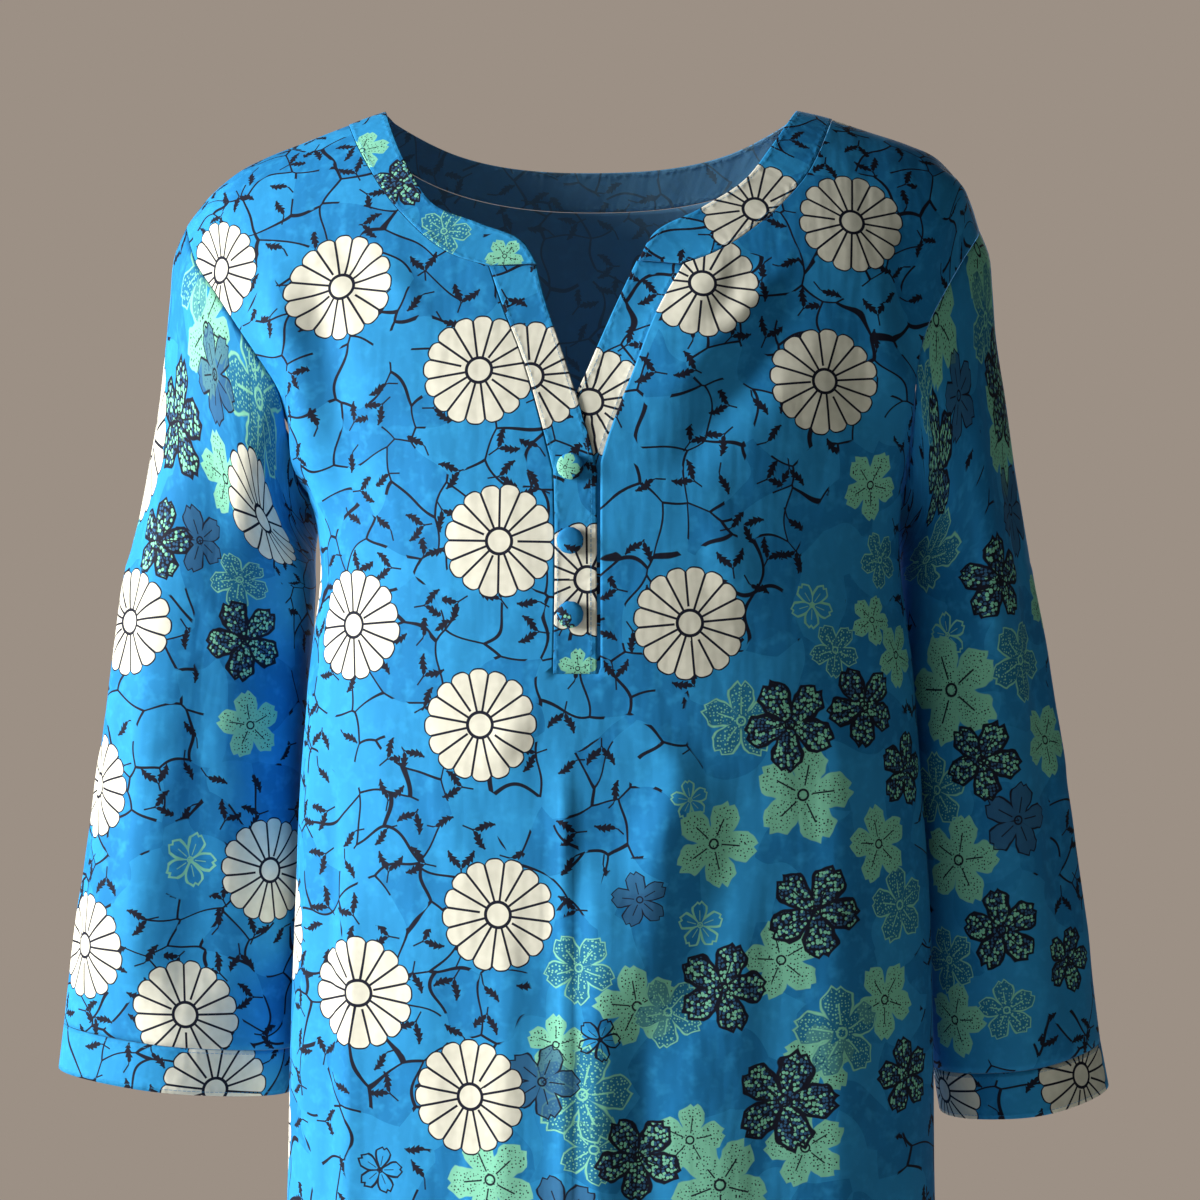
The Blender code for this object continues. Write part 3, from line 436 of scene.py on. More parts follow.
@dataclass
class Seams:
    """Cut lines of the pieces on the worn form.

    Neck and slit lines are places across and up in front view, from low to high at the slit and
    from the middle outwards at the neck. Armholes are points in space from the shoulder down.
    """

    form: TorsoForm
    slit_rows: int = 25
    neck_rows: int = 35
    skirt_rows: int = 150
    waist_rows: int = 28
    side_columns: int = 62
    armholes: dict[tuple[Side, bool], np.ndarray] = field(default_factory=lambda: {
        (Side.LEFT, False): np.array([
            (-24.6, 0.0, -6.6), (-24.2, -2.6, -7.4), (-23.3, -4.6, -9.6), (-22.0, -6.2, -11.4),
            (-20.7, -7.2, -13.3), (-19.4, -7.6, -15.2), (-18.1, -7.4, -17.3), (-17.6, -6.1, -19.8),
            (-17.2, -3.6, -22.3)]) * CM,
        (Side.LEFT, True): np.array([
            (-24.6, 0.0, -6.6), (-24.3, 1.7, -7.7), (-23.6, 3.1, -9.8), (-22.5, 4.2, -12.2),
            (-21.1, 4.9, -14.8), (-19.7, 5.1, -17.4), (-18.3, 4.7, -20.0),
            (-17.1, 3.5, -22.4)]) * CM,
        (Side.RIGHT, False): np.array([
            (23.3, 0.0, -6.9), (22.8, -2.6, -7.7), (21.6, -4.7, -9.4), (20.3, -6.3, -11.5),
            (19.2, -7.2, -13.6), (18.6, -7.5, -15.9), (18.4, -7.2, -18.2), (18.3, -5.9, -20.4),
            (18.1, -3.5, -22.5)]) * CM,
        (Side.RIGHT, True): np.array([
            (23.3, 0.0, -6.9), (23.1, 1.7, -7.9), (22.3, 3.1, -10.0), (21.3, 4.2, -12.4),
            (20.4, 4.9, -15.0), (19.6, 5.1, -17.6), (18.8, 4.7, -20.1), (18.1, 3.5, -22.4)]) * CM})
    slit_line: dict[Side, np.ndarray] = field(default_factory=lambda: {
        Side.LEFT: np.array([(-2.26, -22.1), (-2.9, -19.5), (-4.3, -14.9), (-4.9, -13.4),
                             (-5.9, -10.5)]) * CM,
        Side.RIGHT: np.array([(0.25, -22.1), (0.6, -20.8), (2.1, -16.7), (3.5, -13.1),
                              (5.0, -10.4)]) * CM})
    slit_edge: dict[Side, np.ndarray] = field(default_factory=lambda: {
        Side.LEFT: np.array([(0.19, -22.1), (-0.2, -20.4), (-1.5, -16.2), (-3.0, -11.4),
                             (-3.2, -10.5)]) * CM,
        Side.RIGHT: np.array([(-1.9, -22.1), (-1.7, -19.8), (-0.3, -16.3), (1.25, -12.7),
                              (2.5, -10.0)]) * CM})
    neck_line: dict[Side, np.ndarray] = field(default_factory=lambda: {
        Side.LEFT: np.array([(-5.9, -10.5), (-8.0, -9.8), (-11.2, -7.0), (-13.5, -3.4),
                             (-14.7, -0.8)]) * CM,
        Side.RIGHT: np.array([(5.0, -10.4), (6.8, -9.7), (9.2, -8.1), (12.0, -5.2),
                              (14.3, -0.5)]) * CM})
    neck_edge: dict[Side, np.ndarray] = field(default_factory=lambda: {
        Side.LEFT: np.array([(-3.2, -10.4), (-3.9, -9.2), (-6.4, -8.0), (-9.1, -6.8),
                             (-10.7, -4.4), (-12.5, 0.0)]) * CM,
        Side.RIGHT: np.array([(2.5, -10.2), (3.3, -8.7), (6.0, -7.1), (8.6, -5.3),
                              (10.3, -3.0), (12.2, 0.05)]) * CM})
    back_line: np.ndarray = field(default_factory=lambda: np.array([
        (-14.7, -0.8), (-10.0, -3.3), (0.0, -4.8), (10.0, -3.2), (14.3, -0.5)]) * CM)
    back_edge: np.ndarray = field(default_factory=lambda: np.array([
        (-12.5, 0.0), (-8.5, -1.6), (0.0, -2.5), (8.5, -1.5), (12.2, 0.05)]) * CM)
    ridge_reach: float = -1.5 * CM

    def __post_init__(self) -> None:
        """Set the neck lines' ends exactly on the shoulder ridge."""
        for line in (*self.neck_line.values(), *self.neck_edge.values(), self.back_line,
                     self.back_edge):
            for k in (0, -1):
                if line[k, 1] > self.ridge_reach:
                    line[k, 1] = self.form.ridge_height(line[k, 0])

    @property
    def upper_rows(self) -> int:
        """Rows from the underarm to the shoulder."""
        return self.slit_rows + self.neck_rows

    def armhole(self, side: Side, back: bool) -> np.ndarray:
        """Armhole seam from the underarm up to the shoulder.

        Args:
            side: which armhole.
            back: its back half, or its front.

        Returns:
            One point per panel row above the underarm.
        """
        underarm = self.form.point(*self.form.side_chart(UNDERARM, side.value))
        return along(np.vstack([self.armholes[side, back], underarm]), self.upper_rows)[::-1]

    def ring(self, side: Side) -> np.ndarray:
        """Armhole seam as one ring from the shoulder by the front and round the back."""
        front, back = self.armhole(side, False)[::-1], self.armhole(side, True)[::-1]
        return np.concatenate([front, back[::-1][1:-1]])


def row_line(start: np.ndarray, end: np.ndarray, count: int) -> np.ndarray:
    """Even steps in the chart between two chart points."""
    share = np.linspace(0.0, 1.0, count + 1)[:, None]
    return (1 - share) * start + share * end


def stack_rows(low: np.ndarray, high: np.ndarray, count: int) -> np.ndarray:
    """Count chart rows from one row up to, and without, another."""
    share = np.linspace(0, 1, count + 1)[:-1, None, None]
    return (1 - share) * low + share * high


def coons(bottom: np.ndarray, top: np.ndarray, left: np.ndarray, right: np.ndarray,
          evenness: float = 0.0) -> np.ndarray:
    """Chart grid between four edges that share their corners.

    Levels blend linearly from bottom to top by each side's own share, which turns even towards
    the middle by the given evenness. Angles blend between the sides plus what bottom and top add.

    Args:
        bottom: lower edge, left to right.
        top: upper edge.
        left: left edge, upwards.
        right: right edge.
        evenness: how far the middle columns take even steps.

    Returns:
        Chart points, rows upwards.
    """
    s = np.linspace(0.0, 1.0, len(bottom))[None, :]
    low_side = ((left[:, 1] - left[0, 1]) / (left[-1, 1] - left[0, 1]))[:, None]
    high_side = ((right[:, 1] - right[0, 1]) / (right[-1, 1] - right[0, 1]))[:, None]
    share = evenness * np.sin(math.pi * s)
    v = (1 - share) * ((1 - s) * low_side + s * high_side)
    v = v + share * np.linspace(0.0, 1.0, len(left))[:, None]
    across = (1 - s) * left[:, None, 0] + s * right[:, None, 0]
    low = bottom[None, :, 0] - (1 - s) * bottom[0, 0] - s * bottom[-1, 0]
    high = top[None, :, 0] - (1 - s) * top[0, 0] - s * top[-1, 0]
    level = (1 - v) * bottom[None, :, 1] + v * top[None, :, 1]
    return np.stack([across + (1 - v) * low + v * high, level], axis=-1)


def fit_edge(grid: np.ndarray, edge: np.ndarray, first_row: int, first: bool) -> None:
    """Move a side column on to its seam, fading the move out over nearly half the columns.

    Args:
        grid: surface points, changed in place.
        edge: the seam.
        first_row: row at which the seam starts.
        first: whether it is the first column, or the last.
    """
    reach = 0.45 * grid.shape[1]
    place = np.arange(grid.shape[1])
    fade = soft_step(1.0 - (place if first else place[::-1]) / reach)[None, :, None]
    grid[first_row:] += fade * (edge - grid[first_row:, 0 if first else -1])[:, None, :]


def pull_in(grid: np.ndarray, *sides: str, gap: float = 0.2 * MM) -> None:
    """Move borders of a grid inwards along its surface, so seams stay apart.

    Args:
        grid: surface points, changed in place.
        sides: first, last, low or high.
        gap: how far.
    """
    turned = grid.swapaxes(0, 1)
    for side in sides:
        lines = {"first": grid, "last": grid[:, ::-1], "low": turned, "high": turned[:, ::-1]}[side]
        step = lines[:, 1] - lines[:, 0]
        lines[:, 0] += step / np.linalg.norm(step, axis=1)[:, None] * gap


@dataclass
class Patch:
    """A grid of one piece: where its points lie, worn and on the flat cloth, and its stitch line.

    Stitch holds the distance from the line of topstitching and the length along it, metres.
    """

    points: np.ndarray
    cloth: np.ndarray
    stitch: np.ndarray

    @classmethod
    def plain(cls, points: np.ndarray, cloth: np.ndarray) -> "Patch":
        """Patch with no topstitching."""
        return cls(points, cloth, np.ones(cloth.shape))

    def flipped(self) -> "Patch":
        """The same patch with its columns in the other order."""
        return Patch(self.points[:, ::-1], self.cloth[:, ::-1], self.stitch[:, ::-1])


@dataclass
class Stamp:
    """A flower of the print: its place in the front view, or on the cloth, its size and kind."""

    across: float
    up: float
    radius: float
    kind: Optional[Bloom] = None
    on_cloth: bool = False

    def layers(self) -> tuple[str, ...]:
        """Layers of the print it may lie in, pale blossoms below dark ones.

        Returns:
            Layer names, the wanted one first.
        """
        if self.kind is None:
            return ("rosette",)
        pale = self.kind in (MINT, OUTLINE)
        return ("bloom_a", "bloom_b") if pale else ("bloom_c", "bloom_b")

    def touches(self, local: np.ndarray, code: float, margin: float) -> np.ndarray:
        """Which faces the flower reaches, by the same petal outline as the print's shader.

        Args:
            local: corners of each face from the flower's middle, over its radius.
            code: kind plus share, whose share turns the petals.
            margin: how near an outline must come, over the radius.

        Returns:
            True for each face that is reached and lies wholly near the flower.
        """
        r = np.linalg.norm(local, axis=-1)
        if self.kind is None:
            return np.any(r < 1.0 + margin, axis=1) & np.all(r < 1.4, axis=1)
        turn = np.arctan2(local[..., 1], local[..., 0]) * BLOOM_PETALS / (2 * math.pi) + code % 1.0
        off = (turn % 1.0 - 0.5) * 2 * math.pi / BLOOM_PETALS
        u, v = r * np.cos(off), r * np.abs(np.sin(off))
        wide = PETAL_FOOT + PETAL_SPREAD * u - PETAL_CURVE * u * u - v
        depth = np.minimum(wide, PETAL_TIP - np.abs(v - POINT_ASIDE) * POINT_SLOPE - u)
        return np.any(depth > -margin, axis=1) & np.all(r < 1.6, axis=1)


@dataclass
class Eye:
    """Where the front view is seen from, used to lay flowers where they stand on the real dress.

    The lens is in mm. Scale and middle turn a direction into pixels of a 1200 square.
    """

    x: float = 0.35 * CM
    y: float = -1.45
    z: float = -0.293
    lens: float = 71.8
    scale: float = 2394.0
    middle: float = 600.0

    def seen(self, points: np.ndarray) -> np.ndarray:
        """Front-view places of points.

        Args:
            points: places in space, metres.

        Returns:
            Pixels rightwards and downwards.
        """
        reach = self.scale / (points[:, 1] - self.y)
        return np.stack([self.middle + (points[:, 0] - self.x) * reach,
                         self.middle - (points[:, 2] - self.z) * reach], axis=1)


@dataclass
class ClothPiece:
    """One cut piece of the dress: a thin closed shell with its print laid on."""

    node: str
    finishes: Sequence[bpy.types.Material]
    flat: tuple[float, float]
    area: float
    stamps: Sequence[Stamp] = ()
    slot: str = "cloth"
    margin: float = 3.5 * MM

    @staticmethod
    def join(patches: Sequence[Patch]) -> tuple[np.ndarray, ...]:
        """Quads and points of patches whose borders coincide.

        Args:
            patches: grids whose rows run upwards and columns rightwards.

        Returns:
            Points, cloth places, stitch values and quads.
        """
        stacked = [np.concatenate([grid.reshape(-1, grid.shape[-1]) for grid in grids])
                   for grids in zip(*((p.points, p.cloth, p.stitch) for p in patches))]
        starts = np.cumsum([0] + [patch.points[..., 0].size for patch in patches])
        quads = np.concatenate([grid_quads(*patch.points.shape[:2], start)
                                for patch, start in zip(patches, starts)])
        key = np.round(stacked[0] / (0.01 * MM)).astype(np.int64)
        _, keep, back = np.unique(key, axis=0, return_index=True, return_inverse=True)
        return *(values[keep] for values in stacked), back.reshape(-1)[quads]

    @staticmethod
    def normals(points: np.ndarray, quads: np.ndarray) -> np.ndarray:
        """Unit normals at the points, summed from the quads' diagonal cross products.

        Points on the shoulder ridge get no forward or backward part, so that front and back
        panels stay edge to edge there.

        Args:
            points: places in space, metres.
            quads: four point indices per face.

        Returns:
            One normal per point.
        """
        corner = points[quads]
        cross = np.cross(corner[:, 2] - corner[:, 0], corner[:, 3] - corner[:, 1])
        total = np.stack([np.bincount(quads.ravel(), np.repeat(cross[:, k], 4), len(points))
                          for k in range(3)], axis=1)
        ridge = np.abs(points[:, 1]) < 0.1 * MM
        total[ridge, 1] = 0.0
        return total / np.linalg.norm(total, axis=1)[:, None]

    def lay_print(self, points: np.ndarray, normal: np.ndarray, cloth: np.ndarray,
                  quads: np.ndarray) -> dict[str, np.ndarray]:
        """Face-corner places within the flowers that lie on each face.

        Each flower takes the faces it reaches in the first of its layers where they are all
        free, and is left out if none is. A corner holds its place from the flower's middle over
        the radius, turned, and then the kind plus a random share.

        Args:
            points: worn points.
            normal: their normals.
            cloth: their places on the flat cloth.
            quads: faces.

        Returns:
            Layer name to values per face corner, and bare: 1 in a blossom's middle, falling to 0
            at its bare reach, for the ground that the vines leave free.
        """
        luck = np.random.default_rng(len(points))
        layers = {key: np.full((len(quads), 4, 3), -1.0) for key in LAYERS}
        front = normal[:, 1] < 0.15
        seen = np.where(front[:, None], Eye().seen(points), 1e6)
        corner = cloth[quads]
        bare = np.zeros(corner.shape[:2])
        for stamp in self.stamps:
            centre = np.array([stamp.across, stamp.up])
            if not stamp.on_cloth:
                off = centre - seen
                near = int(np.argmin(np.sum(off * off, axis=1)))
                centre = cloth[near] + off[near] * (1, -1) / VIEW_SCALE
            local = (corner - centre) @ turning(luck.uniform(0, 2 * math.pi)) / stamp.radius
            value = luck.uniform(0.05, 0.95) + (0 if stamp.kind is None else stamp.kind.value)
            hit = stamp.touches(local, value, self.margin / stamp.radius)
            if stamp.kind is not None:
                bare = np.maximum(bare, 1 - np.linalg.norm(local, axis=-1) / BARE_REACH)
            free = [key for key in stamp.layers() if np.all(layers[key][hit, 0, 2] < 0)]
            if free:
                places = local[hit]
                share = np.full(places.shape[:2] + (1,), value)
                layers[free[0]][hit] = np.concatenate([places, share], axis=-1)
        return layers | {"bare": bare}

    def build(self, patches: Sequence[Patch], offset: float = 0.0) -> bpy.types.Object:
        """Make the shell, with the front face, the reverse and the turned edges between them.

        Both faces lie half the cloth's thickness from the grid along its normals. An edge of one
        quad only gets a turned edge. A face takes the finish of the flowers that reach it.

        Args:
            patches: grids whose rows run upwards and columns rightwards.
            offset: how far the cloth lies out from the grid.

        Returns:
            The piece, in place of its CAD node.
        """
        points, cloth, stitch, quads = self.join(patches)
        normal = self.normals(points, quads)
        count = len(points)
        shell = np.concatenate([points + normal * (offset + CLOTH / 2),
                                points + normal * (offset - CLOTH / 2)])
        edges = np.stack([quads, np.roll(quads, -1, axis=1)], axis=-1).reshape(-1, 2)
        forward, reverse = edges[:, 0] * count + edges[:, 1], edges[:, 1] * count + edges[:, 0]
        a, b = edges[~np.isin(reverse, forward)].T
        rim = np.stack([b, a, a + count, b + count], axis=1)
        faces = np.concatenate([quads, quads[:, ::-1] + count, rim])
        hidden = len(quads) + len(rim)
        mesh = bpy.data.meshes.new(f"{self.node}_cloth")
        mesh.from_pydata(shell, [], faces)
        mesh.shade_smooth()
        for name, values in (("cloth", cloth), ("stitch", stitch)):
            self.write(mesh, name, "POINT", "FLOAT_VECTOR",
                       np.tile(np.column_stack([values, np.zeros(count)]), (2, 1)))
        self.write(mesh, "reverse", "FACE", "FLOAT",
                   np.repeat([0.0, 1.0, 0.5], [len(quads), len(quads), len(rim)]))
        laid = np.zeros(len(faces), dtype=np.int32)
        layers = self.lay_print(points, normal, cloth, quads)
        self.write(mesh, "bare", "CORNER", "FLOAT",
                   np.concatenate([layers.pop("bare"), np.zeros((hidden, 4))]))
        for key, values in layers.items():
            self.write(mesh, key, "CORNER", "FLOAT_VECTOR",
                       np.concatenate([values, np.full((hidden, 4, 3), -1.0)]))
            laid[:len(quads)] |= np.where(values[:, 0, 2] > -0.5, 1 if key == "rosette" else 2, 0)
        piece = bpy.data.objects.new(f"{self.node}_cloth", mesh)
        bpy.context.scene.collection.objects.link(piece)
        for finish in self.finishes:
            mesh.materials.append(finish)
        mesh.polygons.foreach_set("material_index", laid)
        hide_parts(self.node)
        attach(piece, "root")
        return piece

    @staticmethod
    def write(mesh: bpy.types.Mesh, name: str, domain: str, kind: str, values: np.ndarray) -> None:
        """Add an attribute to a mesh.

        Args:
            mesh: the mesh.
            name: attribute name.
            domain: POINT, FACE or CORNER.
            kind: FLOAT or FLOAT_VECTOR.
            values: one value or vector per item.
        """
        item = mesh.attributes.new(name, kind, domain)
        item.data.foreach_set("value" if kind == "FLOAT" else "vector",
                              np.ascontiguousarray(values, dtype=np.float32).ravel())


def srgb(code: str) -> tuple[float, float, float, float]:
    """Linear colour from an sRGB hex code."""
    parts = [int(code[k:k + 2], 16) / 255 for k in (1, 3, 5)]
    return (*((p / 12.92 if p <= 0.04045 else ((p + 0.055) / 1.055) ** 2.4) for p in parts), 1.0)


@dataclass(frozen=True)
class Wire:
    """A value carried between shader nodes, with ordinary arithmetic."""

    graph: "Graph"
    socket: Any

    def do(self, operation: str, *others: Any) -> "Wire":
        """This value and others through one arithmetic operation."""
        return self.graph.add("Math", self, *others, operation=operation)

    def __add__(self, other: Any) -> "Wire":
        """Sum."""
        return self.do("ADD", other)

    def __sub__(self, other: Any) -> "Wire":
        """Difference."""
        return self.do("SUBTRACT", other)

    def __mul__(self, other: Any) -> "Wire":
        """Product."""
        return self.do("MULTIPLY", other)

    def __rsub__(self, other: float) -> "Wire":
        """A number less this value."""
        return self.graph.add("Math", other, self, operation="SUBTRACT")

    def under(self, limit: Any, blur: float) -> "Wire":
        """1 where the value is below a limit and 0 above, with a narrow ramp between."""
        gap = self.graph.add("Math", limit, self, operation="SUBTRACT") * (1.0 / blur)
        return self.graph.add("Math", gap, 0.5, operation="ADD", use_clamp=True)

    def over(self, limit: float, blur: float) -> "Wire":
        """1 where the value is above a limit and 0 below, with a narrow ramp between."""
        return self.graph.add("Math", (self - limit) * (1.0 / blur), 0.5, operation="ADD",
                              use_clamp=True)

    def parts(self) -> tuple["Wire", "Wire", "Wire"]:
        """Its three components."""
        node = self.graph.add("SeparateXYZ", self).socket.node
        return tuple(Wire(self.graph, item) for item in node.outputs[:3])


@dataclass
class Graph:
    """The node tree of a finish, filled node by node."""

    tree: bpy.types.NodeTree

    def add(self, kind: str, *values: Any, out: Any = 0, named: Optional[dict[str, Any]] = None,
            **settings: Any) -> Wire:
        """Add a node, set it up and feed its inputs.

        Args:
            kind: node type without its prefix.
            values: inputs in order, None to leave one.
            out: output to hand back.
            named: inputs by name.
            settings: node properties.

        Returns:
            The chosen output.
        """
        node = self.tree.nodes.new("ShaderNode" + kind)
        for key, value in settings.items():
            setattr(node, key, value)
        pairs = list(zip(node.inputs, values))
        pairs += [(node.inputs[key], value) for key, value in (named or {}).items()]
        for socket, value in pairs:
            if isinstance(value, Wire):
                self.tree.links.new(value.socket, socket)
            elif value is not None:
                socket.default_value = value
        return Wire(self, node.outputs[out] if node.outputs else None)

    def paint(self, under: Any, mask: Any, over: Any) -> Wire:
        """One colour laid over another where the mask is 1."""
        return self.add("MixRGB", mask, under, over)

    def held(self, name: str, out: str = "Vector") -> Wire:
        """A vector stored on the piece, or with out "Fac" a number."""
        return self.add("Attribute", attribute_name=name, out=out)


@dataclass(frozen=True)
class Dye:
    """Colours of the printed cotton, as sRGB hex codes."""

    azure: str = "#157CC0"
    azure_light: str = "#2FA0E2"
    azure_deep: str = "#0E70AE"
    ink: str = "#0A1026"
    petal: str = "#E4E7DF"
    petal_grey: str = "#CFD2C8"
    mint: str = "#7FCDB5"
    teal: str = "#1C6C90"
    slate: str = "#2B5A86"
    back: str = "#86B4D6"
    thread: str = "#2A88C4"


@dataclass(frozen=True)
class PrintedCotton:
    """Light plain-weave cotton, dyed azure and screen printed with flowers and vines.

    Its yarns are about 0.2 mm, too fine to show at this size. So the eye gets a matt face with a
    weak broad sheen, flat dyes with crisp edges, a slightly uneven ground and small soft dents.
    Lengths are in mm on the cloth.
    """

    name: str
    dye: Dye = Dye()
    roughness: float = 0.82
    sewn: bool = False
    vine_cell: float = 29.0
    vine_sway: float = 27.0
    stem_half: float = 0.60
    pool_strength: float = 0.42
    bare_edge: float = 0.47
    leaf_cell: float = 21.5
    leaf_length: float = 12.0
    leaf_half: float = 2.1
    leaf_notches: float = 4.3
    rosette_radius: float = 32.0
    petals: float = 16.0
    petal_dip: float = 3.4
    rule_half: float = 0.66
    eye_radius: float = 7.1
    stitches_per_metre: float = 370.0

    def vines(self, g: Graph, place: Wire, colour: Wire) -> Wire:
        """Thin dark stems round rounded cells, with small notched leaves beside them.

        Stems lie where a warped Voronoi pattern's edge distance is small, and some of its cells
        are a lighter pool of dye. A leaf is the place from its own cell's middle, turned by
        chance and mirrored where it is one of a pair, inside a half width that rises and falls
        along the leaf in notches. A short stalk leads to it.

        Args:
            g: node tree.
            place: place on the cloth, mm.
            colour: ground colour.

        Returns:
            The colour with stems and leaves on it.
        """
        sway = g.add("TexNoise", place, noise_dimensions="2D", out="Color",
                     named={"Scale": 0.026, "Detail": 0.0})
        sway = g.add("VectorMath", sway, (0.5, 0.5, 0.5), operation="SUBTRACT")
        sway = g.add("VectorMath", sway, (self.vine_sway, self.vine_sway, 0.0),
                     operation="MULTIPLY")
        warped = g.add("VectorMath", place, sway, operation="ADD")
        cell = {"voronoi_dimensions": "2D",
                "named": {"Scale": 1 / self.vine_cell, "Randomness": 0.85}}
        edge = g.add("TexVoronoi", warped, feature="DISTANCE_TO_EDGE", out="Distance", **cell)
        pool = g.add("TexVoronoi", warped, out="Color", **cell).parts()[0]
        colour = g.paint(colour, pool.over(0.45, 0.05) * self.pool_strength,
                         srgb(self.dye.azure_light))
        gaps = g.add("TexNoise", place, noise_dimensions="2D", named={"Scale": 0.04, "Detail": 0.0})
        stem = (edge * self.vine_cell).under(gaps * 0.4 + self.stem_half, 0.2)
        stem = stem * gaps.under(0.60, 0.01)
        cells = g.add("TexVoronoi", place, voronoi_dimensions="2D", out="Position",
                      named={"Scale": 1 / self.leaf_cell, "Randomness": 0.75}).socket.node
        middle, chance = Wire(g, cells.outputs["Position"]), Wire(g, cells.outputs["Color"])
        luck, present, paired = chance.parts()
        local = g.add("VectorMath", place, middle, operation="SUBTRACT")
        local = g.add("VectorRotate", local, (0.0, 0.0, 0.0), None, luck * (2 * math.pi),
                      rotation_type="Z_AXIS")
        x, y, _ = local.parts()
        pair = paired.do("GREATER_THAN", 0.35)
        stalk = y.do("ABSOLUTE").under(0.45, 0.2) * x.under(-4.6, 0.2) * x.over(-10.5, 0.2)
        y = y * (1 - pair) + y.do("ABSOLUTE") * pair
        # s runs along the leaf, t is the distance across it, u the share of its length.
        s = (x + 4.8) * 0.82 + y * 0.57
        t = (y * 0.82 - (x + 4.8) * 0.57 + (s * 0.5).do("SINE") * 0.5).do("ABSOLUTE")
        u = (s - 1.6) * (1 / self.leaf_length)
        swell = (u.do("MAXIMUM", 0.0).do("MINIMUM", 1.0).do("POWER", 0.8) * math.pi).do("SINE")
        notch = 1.15 - (u * self.leaf_notches).do("FRACT") * 0.75
        leaf = t.under(swell * notch * self.leaf_half + 0.36, 0.2)
        leaf = leaf * s.over(0.0, 0.2) * u.under(0.98, 0.02)
        leaf = leaf.do("MAXIMUM", stalk) * present.do("GREATER_THAN", 0.30)
        ground = g.held("bare", "Fac").under(self.bare_edge, 0.02)
        return g.paint(colour, stem.do("MAXIMUM", leaf) * ground, srgb(self.dye.ink))

    def rosette(self, g: Graph, colour: Wire) -> Wire:
        """Round white flower of sixteen petals with dark rules between and a ringed middle.

        Petal tips are a round profile over the petal's turn, each a little longer or shorter by
        chance. The rules keep their width outwards, and a few of them start late.

        Args:
            g: node tree.
            colour: colour beneath.

        Returns:
            The colour with the flower on it.
        """
        x, y, seed = g.held("rosette").parts()
        r = (x * x + y * y).do("SQRT") * self.rosette_radius
        turn = y.do("ARCTAN2", x) * (self.petals / (2 * math.pi)) + seed + 40.0
        chance = g.add("TexWhiteNoise", None, turn.do("FLOOR"), noise_dimensions="1D")
        aside = (turn.do("FRACT") - 0.5).do("ABSOLUTE")
        dip = (aside * 2.0).do("POWER", 3.2) * self.petal_dip
        tip = (chance - 0.5) * 1.1 + (self.rosette_radius - 0.4) - dip
        rule = (0.5 - aside) * r * (2 * math.pi / self.petals)
        start = g.add("TexWhiteNoise", None, (turn + 0.5).do("FLOOR") + 9.0, noise_dimensions="1D")
        start = start.do("POWER", 4.0) * 5.0 + 7.0
        lines = rule.under(self.rule_half, 0.2) * (start - r).under(0.0, 0.3)
        lines = lines.do("MAXIMUM", (r - self.eye_radius).do("ABSOLUTE").under(0.9, 0.2))
        lines = lines.do("MAXIMUM", (r - tip).do("ABSOLUTE").under(0.45, 0.2))
        wash = g.add("TexNoise", g.held("cloth"), noise_dimensions="2D",
                     named={"Scale": 160.0, "Detail": 1.0})
        petal = g.paint(srgb(self.dye.petal), wash, srgb(self.dye.petal_grey))
        here = seed.do("GREATER_THAN", 0.0)
        colour = g.paint(colour, r.under(tip, 0.2) * here, petal)
        return g.paint(colour, lines * here * r.under(tip + 0.8, 0.2), srgb(self.dye.ink))

    def blossom(self, g: Graph, layer: str, colour: Wire, ragged: Wire, dots: Wire) -> Wire:
        """Small five-petalled flower in one of the kinds, with an outline, veins and specks.

        The stored vector is the place over the flower's radius, and its kind plus a share. Depth
        is how far inside its petal a place lies, and the outline, specks and veins follow it.

        Args:
            g: node tree.
            layer: stored vector to read.
            colour: colour beneath.
            ragged: small uneven move of the petals' edges.
            dots: distance from the middle of the nearest speck.

        Returns:
            The colour with the flowers on it.
        """
        x, y, code = g.held(layer).parts()
        kind = code.do("FLOOR")
        seed = code - kind
        r = (x * x + y * y).do("SQRT")
        turn = y.do("ARCTAN2", x) * (BLOOM_PETALS / (2 * math.pi)) + seed + 20.0
        off = (turn.do("FRACT") - 0.5) * (2 * math.pi / BLOOM_PETALS)
        u, v = r * off.do("COSINE"), r * off.do("SINE").do("ABSOLUTE")
        wide = u * PETAL_SPREAD + PETAL_FOOT - u * u * PETAL_CURVE - v
        tip = PETAL_TIP - (v - POINT_ASIDE).do("ABSOLUTE") * POINT_SLOPE - u
        depth = wide.do("MINIMUM", tip) + ragged
        one = {bloom: kind.do("COMPARE", float(bloom.value), 0.4) for bloom in Bloom}
        # Petal colours by kind; the small ones show the ground.
        fill = g.paint(colour, one[MINT], srgb(self.dye.mint))
        fill = g.paint(fill, one[BLACK], srgb(self.dye.ink))
        fill = g.paint(fill, one[SLATE] * 0.8, srgb(self.dye.slate))
        fill = g.paint(fill, one[OUTLINE] * 0.75, srgb(self.dye.teal))
        # Specks, largest on black petals, none near the edge.
        chance = Wire(g, dots.socket.node.outputs["Color"]).parts()[0]
        size = one[BLACK] * 0.24 + one[OUTLINE] * 0.04 + chance * 0.16 + 0.10
        specks = dots.under(size, 0.08) * depth.over(0.075, 0.02)
        specks = specks * (1 - one[SLATE].do("MAXIMUM", one[SMALL]))
        speck = g.paint(srgb(self.dye.mint), one[MINT], srgb(self.dye.ink))
        speck = g.paint(speck, one[BLACK] * chance.under(0.55, 0.02), srgb(self.dye.slate))
        fill = g.paint(fill, specks, speck)
